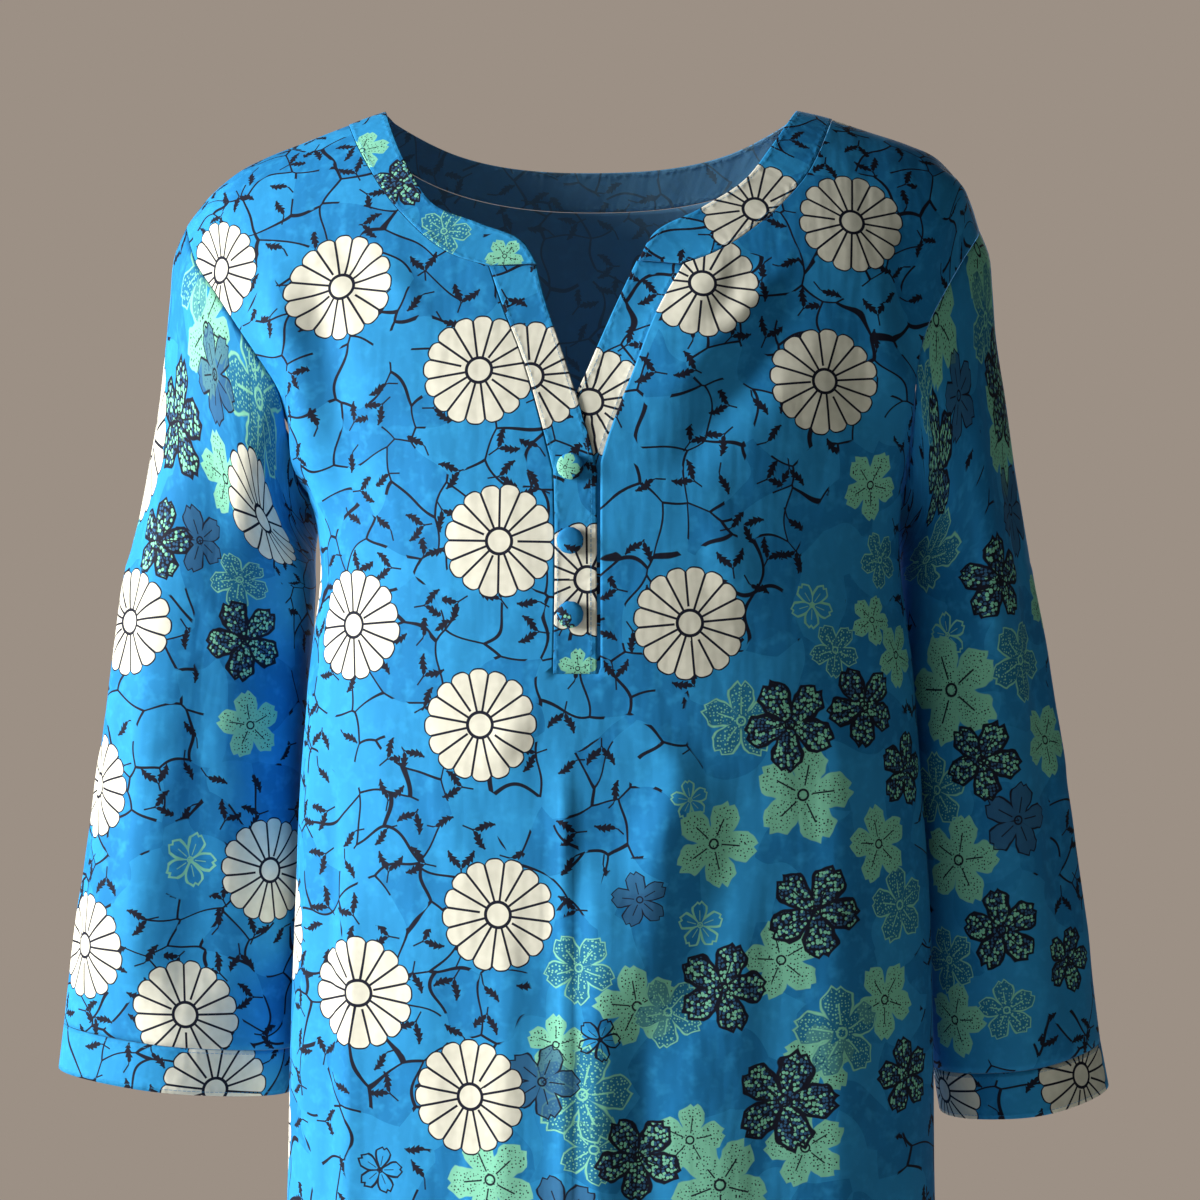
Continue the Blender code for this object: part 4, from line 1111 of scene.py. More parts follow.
        # Outline, a vein up each petal and a ringed middle, pale or dark by kind.
        pale = one[OUTLINE].do("MAXIMUM", one[SMALL] * seed.do("GREATER_THAN", 0.4))
        line = g.paint(srgb(self.dye.ink), pale, srgb(self.dye.mint))
        width = one[SMALL] * 0.045 + 0.045
        rim = depth.under(width, 0.02) * (1 - one[MINT])
        vein = v.under(0.016, 0.012) * (u - 0.38).do("ABSOLUTE").under(0.2, 0.02)
        eye = (r - 0.10).do("ABSOLUTE").under(0.022, 0.015)
        marks = rim.do("MAXIMUM", vein).do("MAXIMUM", eye)
        petals = depth.over(0.0, 0.02) * code.do("GREATER_THAN", -0.5)
        colour = g.paint(colour, petals, fill)
        return g.paint(colour, marks * petals, line)

    def sew(self, g: Graph, place: Wire, colour: Wire, height: Wire) -> tuple[Wire, Wire]:
        """Topstitching along the edges: short dashes of thread with small gathers beside them.

        Args:
            g: node tree.
            place: place on the cloth, mm.
            colour: colour beneath.
            height: height of the cloth's surface.

        Returns:
            Colour and height with the stitches.
        """
        across, run, _ = g.held("stitch").parts()
        away = across.do("ABSOLUTE")
        dash = (run * self.stitches_per_metre).do("FRACT").do("LESS_THAN", 0.74)
        stitch = away.under(0.22 * MM, 0.1 * MM) * dash
        gather = g.add("TexNoise", place, noise_dimensions="2D",
                       named={"Scale": 0.30, "Detail": 0.0})
        height = height + gather * (away * -500.0).do("EXPONENT") * 1.1 - stitch * 0.15
        return g.paint(colour, stitch * 0.6, srgb(self.dye.thread)), height

    def build(self) -> list[bpy.types.Material]:
        """Make the cloth's four finishes: plain vines, rosettes, blossoms and both of them.

        A face takes the one with the flowers that reach it, which keeps the light work short.

        Returns:
            The materials, in that order.
        """
        return [self.finish(rosettes, blossoms) for blossoms in (False, True)
                for rosettes in (False, True)]

    def finish(self, rosettes: bool, blossoms: bool) -> bpy.types.Material:
        """Make one finish.

        Args:
            rosettes: whether it shows rosettes.
            blossoms: whether it shows blossoms.

        Returns:
            The material.
        """
        words = ["vines"] + ["rosettes"] * rosettes + ["blossoms"] * blossoms
        finish = bpy.data.materials.new(f"{self.name}, {' and '.join(words)}")
        finish.use_nodes = True
        finish.node_tree.nodes.clear()
        g = Graph(finish.node_tree)
        cloth = g.held("cloth")
        place = g.add("VectorMath", cloth, (1000.0, 1000.0, 1000.0), operation="MULTIPLY")
        # Dye takes unevenly: a broad wash between two blues, and small paler spots.
        wash = g.add("TexNoise", place, noise_dimensions="2D",
                     named={"Scale": 0.035, "Detail": 3.0, "Roughness": 0.6})
        colour = g.paint(srgb(self.dye.azure_deep), (wash - 0.15) * 1.8, srgb(self.dye.azure))
        spots = g.add("TexNoise", place, noise_dimensions="2D",
                      named={"Scale": 0.10, "Detail": 2.0, "Roughness": 0.65})
        colour = g.paint(colour, (spots - 0.5).do("MAXIMUM", 0.0) * 1.8,
                         srgb(self.dye.azure_light))
        colour = self.vines(g, place, colour)
        if blossoms:
            ragged = g.add("TexNoise", place, noise_dimensions="2D",
                           named={"Scale": 0.16, "Detail": 0.0})
            ragged = (ragged - 0.5) * 0.09
            dots = g.add("TexVoronoi", place, voronoi_dimensions="2D", out="Distance",
                         named={"Scale": 0.50, "Randomness": 0.8})
            for layer in LAYERS[1:]:
                colour = self.blossom(g, layer, colour, ragged, dots)
        if rosettes:
            colour = self.rosette(g, colour)
        # Soft dents about 16 mm apart, drawn out along the upright yarns.
        streaks = g.add("VectorMath", place, (1.0, 0.3, 1.0), operation="MULTIPLY")
        height = g.add("TexNoise", streaks, noise_dimensions="2D",
                       named={"Scale": 0.06, "Detail": 2.0, "Roughness": 0.55}) * 1.6
        if self.sewn:
            colour, height = self.sew(g, place, colour, height)
        # The print shows through the reverse, paler.
        colour = g.paint(colour, g.held("reverse", "Fac") * 0.5, srgb(self.dye.back))
        normal = g.add("Bump", named={"Strength": 0.55, "Distance": 1.0 * MM, "Height": height})
        shader = g.add("BsdfPrincipled", named={
            "Base Color": colour, "Roughness": self.roughness, "Specular IOR Level": 0.25,
            "Normal": normal})
        g.add("OutputMaterial", shader)
        return finish


@dataclass
class Worn:
    """What every piece of the dress is built from: form, seams, creases and finishes."""

    form: TorsoForm
    seams: Seams
    cotton: Sequence[bpy.types.Material]
    band: Sequence[bpy.types.Material]
    band_columns: int = 9
    main_folds: Folds = field(default_factory=lambda: Folds(np.array([
        (-18.3, -9.0, -15.8, -25.5, 1.5, 0.75), (-16.4, -9.0, -13.4, -27.0, 1.3, -0.45),
        (9.5, -8.5, 1.0, -19.0, 1.8, 0.50), (19.0, -7.0, 17.2, -17.0, 1.1, -0.60),
        (17.3, -10.0, 16.9, -26.0, 1.4, 0.50), (0.3, -42.0, 0.4, -94.5, 1.2, 0.55),
        (2.6, -50.0, 2.6, -94.5, 1.3, -0.40), (5.6, -37.0, 1.2, -54.0, 1.7, 0.50),
        (13.6, -34.0, 14.2, -94.5, 1.6, 0.45), (-13.8, -44.0, -14.4, -94.5, 1.4, 0.30)])))
    front_creases: Folds = field(default_factory=lambda: Folds(np.array([
        (-17.4, -15.0, -15.4, -33.0, 0.7, -0.34), (-15.6, -7.0, -11.6, -15.0, 0.9, -0.26),
        (-12.8, -9.5, -8.6, -14.0, 0.8, 0.24), (-16.0, -19.0, -12.6, -23.5, 0.7, 0.22),
        (12.0, -9.0, 2.6, -19.5, 0.9, 0.38), (12.4, -12.0, 3.4, -23.5, 1.1, -0.42),
        (8.6, -9.5, 6.2, -14.5, 0.7, -0.22), (16.6, -17.0, 12.0, -27.0, 1.0, 0.26),
        (-1.6, -37.0, -1.8, -94.5, 0.40, 0.32), (8.4, -38.0, 4.4, -56.0, 1.5, -0.35),
        (-14.8, -38.0, -15.2, -70.0, 0.45, -0.22), (-13.4, -46.0, -13.9, -82.0, 0.4, 0.20),
        (-16.2, -30.0, -16.6, -60.0, 0.6, 0.22), (5.2, -36.0, 2.4, -47.0, 0.8, 0.30),
        (2.0, -35.0, 5.6, -40.0, 0.7, 0.22), (10.0, -44.0, 9.2, -82.0, 1.2, -0.22),
        (-7.5, -48.0, -8.2, -86.0, 1.4, -0.22), (-4.6, -44.0, -5.0, -66.0, 0.7, 0.16),
        (16.4, -28.0, 15.2, -42.0, 0.8, 0.26), (-3.0, -34.5, -6.5, -39.5, 0.8, 0.28),
        (-2.6, -35.5, -3.6, -44.0, 0.7, -0.18), (6.5, -24.0, 9.5, -31.0, 1.3, 0.22)])))

    def upper_stack(self, hem: np.ndarray, foot: np.ndarray, start: np.ndarray,
                    upper: np.ndarray) -> np.ndarray:
        """Chart grid of a panel.

        Args:
            hem: row of chart points at the hem.
            foot: row at the placket's foot.
            start: row at the underarm.
            upper: all rows from the underarm up.

        Returns:
            Skirt, waist and upper rows in one grid.
        """
        return np.concatenate([stack_rows(hem, foot, self.seams.skirt_rows),
                               stack_rows(foot, start, self.seams.waist_rows), upper])

    def strip(self, line: np.ndarray, edge: np.ndarray, rows: int, turn: float,
              shift: tuple[float, float], foot: bool = False, back: bool = False) -> Patch:
        """Band between its seam line and its free edge, with closer columns near both.

        Args:
            line: seam line, across and up.
            edge: free edge.
            rows: steps along it.
            turn: how the print is turned on it, radians.
            shift: how far the print is moved, metres.
            foot: whether it runs down from the slit's foot to the placket's end.
            back: whether it lies on the back.

        Returns:
            The band's grid.
        """
        share = (0.5 - 0.5 * np.cos(np.linspace(0, math.pi, self.band_columns + 1)))[None, :, None]
        outer, inner = self.form.to_chart(along(line, rows)), self.form.to_chart(along(edge, rows))
        if foot:
            low = [self.form.to_chart([(side[0, 0], PLACKET_FOOT), (side[0, 0], SLIT_FOOT)])
                   for side in (line, edge)]
            outer, inner = (np.vstack([row_line(*ends, self.seams.waist_rows)[:-1], chart])
                            for ends, chart in zip(low, (outer, inner)))
        chart = (1 - share) * outer[:, None] + share * inner[:, None]
        folds = () if back else (self.main_folds,)
        points = self.form.point(chart[..., 0], chart[..., 1], back, folds)
        cloth = self.form.fabric(chart, back) @ turning(-turn) + shift
        width = np.linalg.norm(points[:, -1] - points[:, 0], axis=1)[:, None]
        inset = np.minimum(share[..., 0], 1 - share[..., 0]) * width - STITCH_INSET
        run = np.broadcast_to(run_length(points[:, 0])[:, None], inset.shape)
        return Patch(points, cloth, np.stack([inset, run], axis=-1))


@dataclass
class FrontPanel:
    """Front of the dress in one piece, slit for the neck opening.

    Its two halves meet below the placket in a strip of columns under it. Lap is how far the right
    half's edge moves over from the placket, which leaves the thin dark line beside it.
    """

    worn: Worn
    stamps: Sequence[Stamp]
    middle_columns: int = 8
    edge_pull: float = 0.8
    lap: float = 0.08

    def half(self, side: Side) -> Patch:
        """One half, from its side seam to the slit and the neck.

        Args:
            side: which half.

        Returns:
            Its grid, columns running inwards.
        """
        seams, form, sign = self.worn.seams, self.worn.form, side.value
        seam = seams.armhole(side, False)
        slit, neck = seams.slit_line[side], seams.neck_line[side]
        inner = np.vstack([form.to_chart(along(slit, seams.slit_rows)),
                           form.to_chart(along(neck, seams.neck_rows))[1:]])
        outer = form.seam_chart(seam)
        outer[0] = form.side_chart(UNDERARM, sign)
        count = seams.side_columns
        low = form.to_chart([(slit[0, 0], HEM), (slit[0, 0], PLACKET_FOOT)])
        hem = row_line(form.side_chart(HEM, sign), low[0], count)
        foot = row_line(form.side_chart(PLACKET_FOOT, sign), low[1], count)
        start = row_line(outer[0], inner[0], count)
        ridge = np.linspace(seam[-1, 0], neck[-1, 0], count + 1)
        shoulder = form.to_chart(np.stack([ridge, form.ridge_height(ridge)], axis=1))
        chart = self.worn.upper_stack(hem, foot, start, coons(start, shoulder, outer, inner))
        points = form.point(chart[..., 0], chart[..., 1], False, self.folds)
        fit_edge(points, seam, seams.skirt_rows + seams.waist_rows, True)
        cloth = form.fabric(chart)
        for grid in (points, cloth):
            edge = grid[seams.skirt_rows + 1:]
            edge[:, -2] += self.edge_pull * (edge[:, -1] - edge[:, -2])
        return Patch.plain(points, cloth)

    @property
    def folds(self) -> tuple[Folds, ...]:
        """Every crease of the front."""
        wear = Folds.wear(11, 90, (-15.0, 15.0), (-82.0, -13.0), (5.5, -35.5))
        return self.worn.main_folds, self.worn.front_creases, wear

    def build(self) -> list[bpy.types.Object]:
        """Make the panel.

        Returns:
            The one piece.
        """
        seams, form = self.worn.seams, self.worn.form
        left, right = self.half(Side.LEFT), self.half(Side.RIGHT).flipped()
        rows = seams.skirt_rows + 1
        low, far = left.points[:rows, -1], right.points[:rows, 0]
        ends = [seams.slit_line[side][0, 0] for side in Side]
        chart = np.stack([form.to_chart(np.stack([
            (1 - m) * ends[0] + m * ends[1] + 0 * low[:, 2], low[:, 2]], axis=1))
            for m in np.linspace(0, 1, self.middle_columns)], axis=1)
        points = form.point(chart[..., 0], chart[..., 1], False, self.folds)
        points[:, 0], points[:, -1] = low, far
        pull_in(left.points[rows:], "last", gap=0.15 * MM)
        pull_in(right.points[rows:], "first", gap=0.15 * MM)
        lapped = right.points[rows:rows + seams.waist_rows]
        lapped[:, :2] += (lapped[:, 2:3] - lapped[:, 1:2]) * self.lap
        pull_in(left.points, "first", "high")
        pull_in(right.points, "last", "high")
        piece = ClothPiece("front_panel", self.worn.cotton, (0.56, 0.98), 0.487, self.stamps)
        return [piece.build([left, Patch.plain(points, form.fabric(chart)), right])]


@dataclass
class BackPanel:
    """Back of the dress in one piece, with a shallow neck."""

    worn: Worn
    stamps: Sequence[Stamp]
    shoulder_columns: int = 22
    neck_columns: int = 56
    creases: Folds = field(default_factory=lambda: Folds(np.array([
        (-9.0, -12.0, -6.5, -34.0, 1.4, 0.20), (8.5, -13.0, 6.0, -36.0, 1.5, 0.18),
        (-16.5, -12.0, -13.5, -26.0, 1.2, -0.22), (16.2, -12.0, 13.2, -27.0, 1.2, -0.20),
        (0.2, -30.0, 0.6, -94.5, 1.0, 0.20), (-7.5, -44.0, -8.4, -94.5, 1.4, -0.22),
        (7.8, -40.0, 8.9, -94.5, 1.3, -0.18), (13.5, -50.0, 14.6, -94.5, 1.6, 0.24),
        (-13.8, -47.0, -14.8, -94.5, 1.5, 0.20), (3.5, -56.0, 4.0, -88.0, 0.8, 0.12)])))

    def build(self) -> list[bpy.types.Object]:
        """Make the panel.

        Returns:
            The one piece.
        """
        seams, form = self.worn.seams, self.worn.form
        columns = 2 * self.shoulder_columns + self.neck_columns
        edges = [seams.armhole(side, True) for side in Side]
        charts = [form.seam_chart(edge, True) for edge in edges]
        for side, chart in zip(Side, charts):
            chart[0] = form.side_chart(UNDERARM, side.value, True)
        neck = form.to_chart(along(seams.back_line, self.neck_columns))
        tops = [form.to_chart(np.stack([x, form.ridge_height(x)], axis=1)) for x in (
            np.linspace(edges[0][-1, 0], seams.back_line[0, 0], self.shoulder_columns + 1),
            np.linspace(seams.back_line[-1, 0], edges[1][-1, 0], self.shoulder_columns + 1))]
        rows = [row_line(form.side_chart(z, -1.0, True), form.side_chart(z, 1.0, True), columns)
                for z in (HEM, PLACKET_FOOT)]
        start = row_line(charts[0][0], charts[1][0], columns)
        upper = coons(start, np.vstack([tops[0], neck[1:-1], tops[1]]), *charts, 1.0)
        chart = self.worn.upper_stack(rows[0], rows[1], start, upper)
        wear = Folds.wear(12, 80, (-15.0, 15.0), (-82.0, -12.0))
        points = form.point(chart[..., 0], chart[..., 1], True, (self.creases, wear))
        for edge, first in zip(edges, (True, False)):
            fit_edge(points, edge, seams.skirt_rows + seams.waist_rows, first)
        pull_in(points, "first", "last", "high")
        piece = ClothPiece("back_panel", self.worn.cotton, (0.52, 0.94), 0.402, self.stamps)
        return [piece.build([Patch.plain(points, form.fabric(chart, True)).flipped()])]


@dataclass
class NeckBands:
    """Shaped bands round the neck, one on each front and one on the back.

    A row of plans is name, cut length, rows, turn and move of the print, and area in metres.
    """

    worn: Worn
    stamps: dict[str, Sequence[Stamp]]
    plans: Sequence[tuple[str, float, int, float, tuple[float, float], float]] = (
        ("left", 0.22, 60, 0.7, (0.30, 0.21), 0.0044),
        ("right", 0.22, 60, -0.9, (0.11, 0.35), 0.0050),
        ("back", 0.30, 90, 0.3, (0.62, 0.14), 0.0082))

    def build(self) -> list[bpy.types.Object]:
        """Make the three bands.

        Returns:
            The pieces.
        """
        seams, made = self.worn.seams, []
        lines = {"left": (seams.neck_line[Side.LEFT], seams.neck_edge[Side.LEFT]),
                 "right": (seams.neck_line[Side.RIGHT], seams.neck_edge[Side.RIGHT]),
                 "back": (seams.back_line, seams.back_edge)}
        for name, length, rows, turn, shift, area in self.plans:
            patch = self.worn.strip(*lines[name], rows, turn, shift, back=name == "back")
            pull_in(patch.points, "first", "low", "high", gap=0.15 * MM)
            if name == "right":
                patch = patch.flipped()
            piece = ClothPiece(f"neck_band_{name}", self.worn.band, (length, 0.04), area,
                               self.stamps[name], "band_cloth")
            made.append(piece.build([patch]))
        return made


@dataclass
class Plackets:
    """Two strips of the neck slit: the left one laps over the right one, below it.

    The lower strip is tucked behind the edge of the panel's right half.
    """

    worn: Worn
    stamps: dict[str, Sequence[Stamp]]
    panel: Patch
    tuck: float = 4.0 * MM
    drop: float = -1.1 * MM

    def build(self) -> list[bpy.types.Object]:
        """Make both strips.

        Returns:
            The upper and the lower one.
        """
        seams, worn = self.worn.seams, self.worn
        over, under = (
            worn.strip(seams.slit_line[side], seams.slit_edge[side], seams.slit_rows, turn, shift,
                       foot=True)
            for side, turn, shift in ((Side.LEFT, 0.25, (0.21, -0.12)),
                                      (Side.RIGHT, -0.2, (0.41, 0.09))))
        pull_in(over.points, "first", "last", "low", "high", gap=0.15 * MM)
        side = self.panel.points[seams.skirt_rows:seams.skirt_rows + len(under.points)]
        aside = side[:, -2] - side[:, -1]
        aside /= np.linalg.norm(aside, axis=1)[:, None]
        under.points[:, 0] = side[:, -1] + aside * self.tuck
        upper = ClothPiece("placket_over", worn.band, (0.05, 0.25), 0.0062,
                           self.stamps["over"], "band_cloth")
        lower = ClothPiece("placket_under", worn.band, (0.05, 0.25), 0.0068,
                           self.stamps["under"], "band_cloth")
        return [upper.build([over]), lower.build([under.flipped()], self.drop)]


@dataclass
class Sleeve:
    """Set-in sleeve, eased into a dropped armhole, with its cuff band.

    A row of rings is height, outer and inner edge across, half depth, in cm, and tilt in degrees.
    Outlines are the cap's outer edge, across and up. The cap is a Hermite blend from the armhole
    seam to the first ring. Areas are the sleeve's and the cuff's, square metres.
    """

    worn: Worn
    side: Side
    stamps: Sequence[Stamp]
    cuff_stamps: Sequence[Stamp]
    rings: dict[Side, np.ndarray] = field(default_factory=lambda: {
        Side.LEFT: np.array([
            (-28.0, -28.4, -17.0, 6.1, 8.0), (-36.0, -29.7, -17.4, 5.6, 7.0),
            (-44.0, -30.8, -17.8, 5.0, 6.5), (-50.0, -31.7, -18.0, 4.5, 6.0),
            (-55.7, -32.3, -18.2, 4.1, 6.0)]),
        Side.RIGHT: np.array([
            (-28.0, 26.5, 18.7, 6.6, 7.0), (-36.0, 27.8, 18.95, 6.2, 7.5),
            (-44.0, 29.0, 19.5, 5.9, 8.5), (-50.0, 29.9, 20.0, 5.6, 9.5),
            (-56.8, 30.8, 20.6, 5.3, 10.0)])})
    outlines: dict[Side, np.ndarray] = field(default_factory=lambda: {
        Side.LEFT: np.array([
            (-24.6, -6.6), (-25.3, -8.2), (-25.6, -10.9), (-25.9, -14.0), (-26.3, -17.4),
            (-27.1, -21.9), (-28.35, -27.3)]) * CM,
        Side.RIGHT: np.array([
            (23.3, -6.9), (23.9, -8.4), (24.1, -10.3), (24.3, -13.2), (24.8, -16.5),
            (25.5, -21.6), (26.4, -27.5)]) * CM})
    creases: dict[Side, Folds] = field(default_factory=lambda: {
        Side.LEFT: Folds(np.array([
            (3.0, -24.0, 4.6, -55.0, 1.2, 0.35), (1.2, -30.0, 1.6, -55.0, 0.7, -0.20),
            (6.0, -20.0, 6.6, -55.0, 1.5, 0.45), (-3.0, -26.0, -4.0, -50.0, 1.3, 0.25),
            (-7.0, -30.0, -6.5, -52.0, 1.4, -0.22), (9.6, -18.0, 10.4, -55.0, 2.0, -0.65)])),
        Side.RIGHT: Folds(np.array([
            (4.5, -18.0, 5.5, -56.0, 1.2, 0.32), (8.0, -14.0, 8.6, -34.0, 1.1, -0.30),
            (2.0, -28.0, 2.4, -54.0, 1.0, -0.20), (-3.5, -22.0, -4.5, -50.0, 1.4, 0.24),
            (-8.0, -28.0, -7.5, -52.0, 1.3, -0.22), (11.0, -30.0, 10.0, -52.0, 1.3, 0.18)]))})
    areas: dict[Side, tuple[float, float]] = field(default_factory=lambda: {
        Side.LEFT: (0.152, 0.0101), Side.RIGHT: (0.145, 0.0093)})
    cap_rows: int = 40
    arm_rows: int = 72
    cuff_rows: int = 10
    middle_y: float = 1.0 * CM
    peak: float = 0.10
    peak_spread: float = 0.45
    seam_pull: float = 0.35
    under_push: float = 1.3
    drop: float = 0.4
    under_room: float = 4.0 * MM
    cuff_height: float = 2.75 * CM
    cuff_flare: float = 0.006

    def axis(self, tilt: float) -> np.ndarray:
        """Direction down the sleeve at a tilt in degrees."""
        lean = math.radians(tilt)
        return np.array([self.side.value * math.sin(lean), 0.0, -math.cos(lean)])

    def ring(self, row: np.ndarray, turn: np.ndarray) -> np.ndarray:
        """One ring: across by the cosine of the turn, forward by its sine with a soft front peak.

        Args:
            row: a row of the rings' table.
            turn: turns round the sleeve from its outer edge by the front, radians.

        Returns:
            One point per turn, metres.
        """
        z, outer, inner, depth, tilt = row
        lean = math.radians(tilt)
        out = np.array([self.side.value * math.cos(lean), 0.0, math.sin(lean)])
        peak = np.exp(-(((turn - math.pi / 2) / self.peak_spread) ** 2))
        ring = np.array([(outer + inner) / 2 * CM, self.middle_y, z * CM])
        ring = ring + abs(outer - inner) / 2 * CM * np.cos(turn)[:, None] * out
        ring[:, 1] -= depth * CM * (np.sin(turn) + self.peak * peak)
        return ring

    def grid(self) -> np.ndarray:
        """Rings from the cuff seam up to the armhole.

        The cap leaves the seam along the arm, drawn outwards a little at the top and more at the
        underarm, and its outer edge is brought on to the outline.

        Returns:
            Points, rows upwards.
        """
        seam = self.worn.seams.ring(self.side)
        count = len(seam)
        turn = np.linspace(0, 2 * math.pi, count, endpoint=False)
        table = self.rings[self.side]
        sign, axis = self.side.value, self.axis(table[0, -1])
        away = (seam - seam.mean(axis=0)) * (0.0, 1.0, 1.0)
        away /= np.linalg.norm(away, axis=1)[:, None]
        low = np.clip(-away[:, 2], 0.0, 1.0)[:, None] ** 2
        outward = np.array([sign, 0.0, -self.drop])
        start = axis + (self.seam_pull * (1 - low) + self.under_push * low) * outward
        start /= np.linalg.norm(start, axis=1)[:, None]
        heights = np.linspace(-table[0, 0], -table[-1, 0], self.arm_rows + 1)
        rings = [self.ring(row, turn) for row in smooth_table(heights, -table[:, 0], table)]
        reach = np.linalg.norm(rings[0] - seam, axis=1)[:, None]
        top = np.clip(np.cos(turn), 0.0, 1.0)[:, None] ** 2
        under = np.clip(-np.cos(turn), 0.0, 1.0)
        wanted = along(self.outlines[self.side], 100)
        cap = []
        for u in np.linspace(0, 1, self.cap_rows + 1)[:-1]:
            ring = (1 + 2 * u) * (1 - u) ** 2 * seam + u * u * (3 - 2 * u) * rings[0]
            ring = ring + reach * (u * (1 - u) ** 2 * start - u * u * (1 - u) * axis)
            x = np.interp(-ring[0, 2], -wanted[:, 1], wanted[:, 0])
            ring[:, 0:1] += top * (x - ring[0, 0])
            ring[:, 0] += sign * self.under_room * under * (1 - u)
            cap.append(ring)
        return np.array(cap + rings)[::-1]

    def patch(self, grid: np.ndarray, shift: tuple[float, float], stitched: bool) -> Patch:
        """Cut the rings open at the underarm seam and lay them on the flat cloth.

        Args:
            grid: rings, rows upwards.
            shift: move of the print.
            stitched: whether both long edges are topstitched.

        Returns:
            The patch, columns rightwards seen from outside.
        """
        half = grid.shape[1] // 2
        turned = np.roll(grid, half, axis=1)
        points = np.concatenate([turned, turned[:, :1]], axis=1)
        across = run_length(points, 1)
        across -= across[:, [half]]
        up = run_length(points.mean(axis=1))[:, None] + 0 * across
        cloth = np.stack([across + shift[0], up + shift[1]], axis=-1)
        inset = np.minimum(up, up[-1] - up) - STITCH_INSET
        stitch = np.stack([inset, across], axis=-1) if stitched else np.ones(cloth.shape)
        return Patch(points, cloth, stitch)

    def crease(self, patch: Patch) -> None:
        """Lay the creases on a sleeve, by length round from its outer edge and by height.

        They fade out over the first and the last rows, so the seams stay where they are.

        Args:
            patch: the sleeve, whose points are moved.
        """
        rows, columns = patch.points.shape[:2]
        across = patch.cloth[..., 0] - patch.cloth[..., [columns // 2], 0]
        wear = Folds.wear(13, 60, (-13.0, 13.0), (-50.0, -12.0))
        rise = sum(folds.rise(across, patch.points[..., 2])
                   for folds in (self.creases[self.side], wear))
        normal = ClothPiece.normals(patch.points.reshape(-1, 3), grid_quads(rows, columns))
        fade = soft_step(np.minimum(np.arange(rows), np.arange(rows)[::-1]) / 8.0)[:, None, None]
        patch.points += normal.reshape(patch.points.shape) * rise[..., None] * fade

    def build(self) -> list[bpy.types.Object]:
        """Make the sleeve and its cuff.

        Returns:
            Both pieces.
        """
        name = self.side.name.lower()
        grid = self.grid()
        end, axis = grid[0], self.axis(self.rings[self.side][-1, -1])
        middle = end.mean(axis=0)
        cuff = np.array([middle + (end - middle) * (1 + self.cuff_flare * share)
                         + axis * self.cuff_height * share
                         for share in np.linspace(1, 0, self.cuff_rows)])
        arm = self.patch(grid, (0.0, 0.0), False)
        band = self.patch(cuff, (0.33, 0.57), True)
        self.crease(arm)
        pull_in(arm.points, "low", "high", gap=0.25 * MM)
        for patch in (arm, band):
            pull_in(patch.points, "first", "last", gap=0.1 * MM)
        pull_in(band.points, "high", gap=0.15 * MM)
        if self.side is Side.RIGHT:
            arm, band = arm.flipped(), band.flipped()
        arm_area, cuff_area = self.areas[self.side]
        sleeve = ClothPiece(f"sleeve_{name}", self.worn.cotton, (0.42, 0.52), arm_area,
                            self.stamps)
        turned_up = ClothPiece(f"cuff_{name}", self.worn.band, (0.36, 0.03), cuff_area,
                               self.cuff_stamps, "band_cloth")
        return [sleeve.build([arm]), turned_up.build([band])]


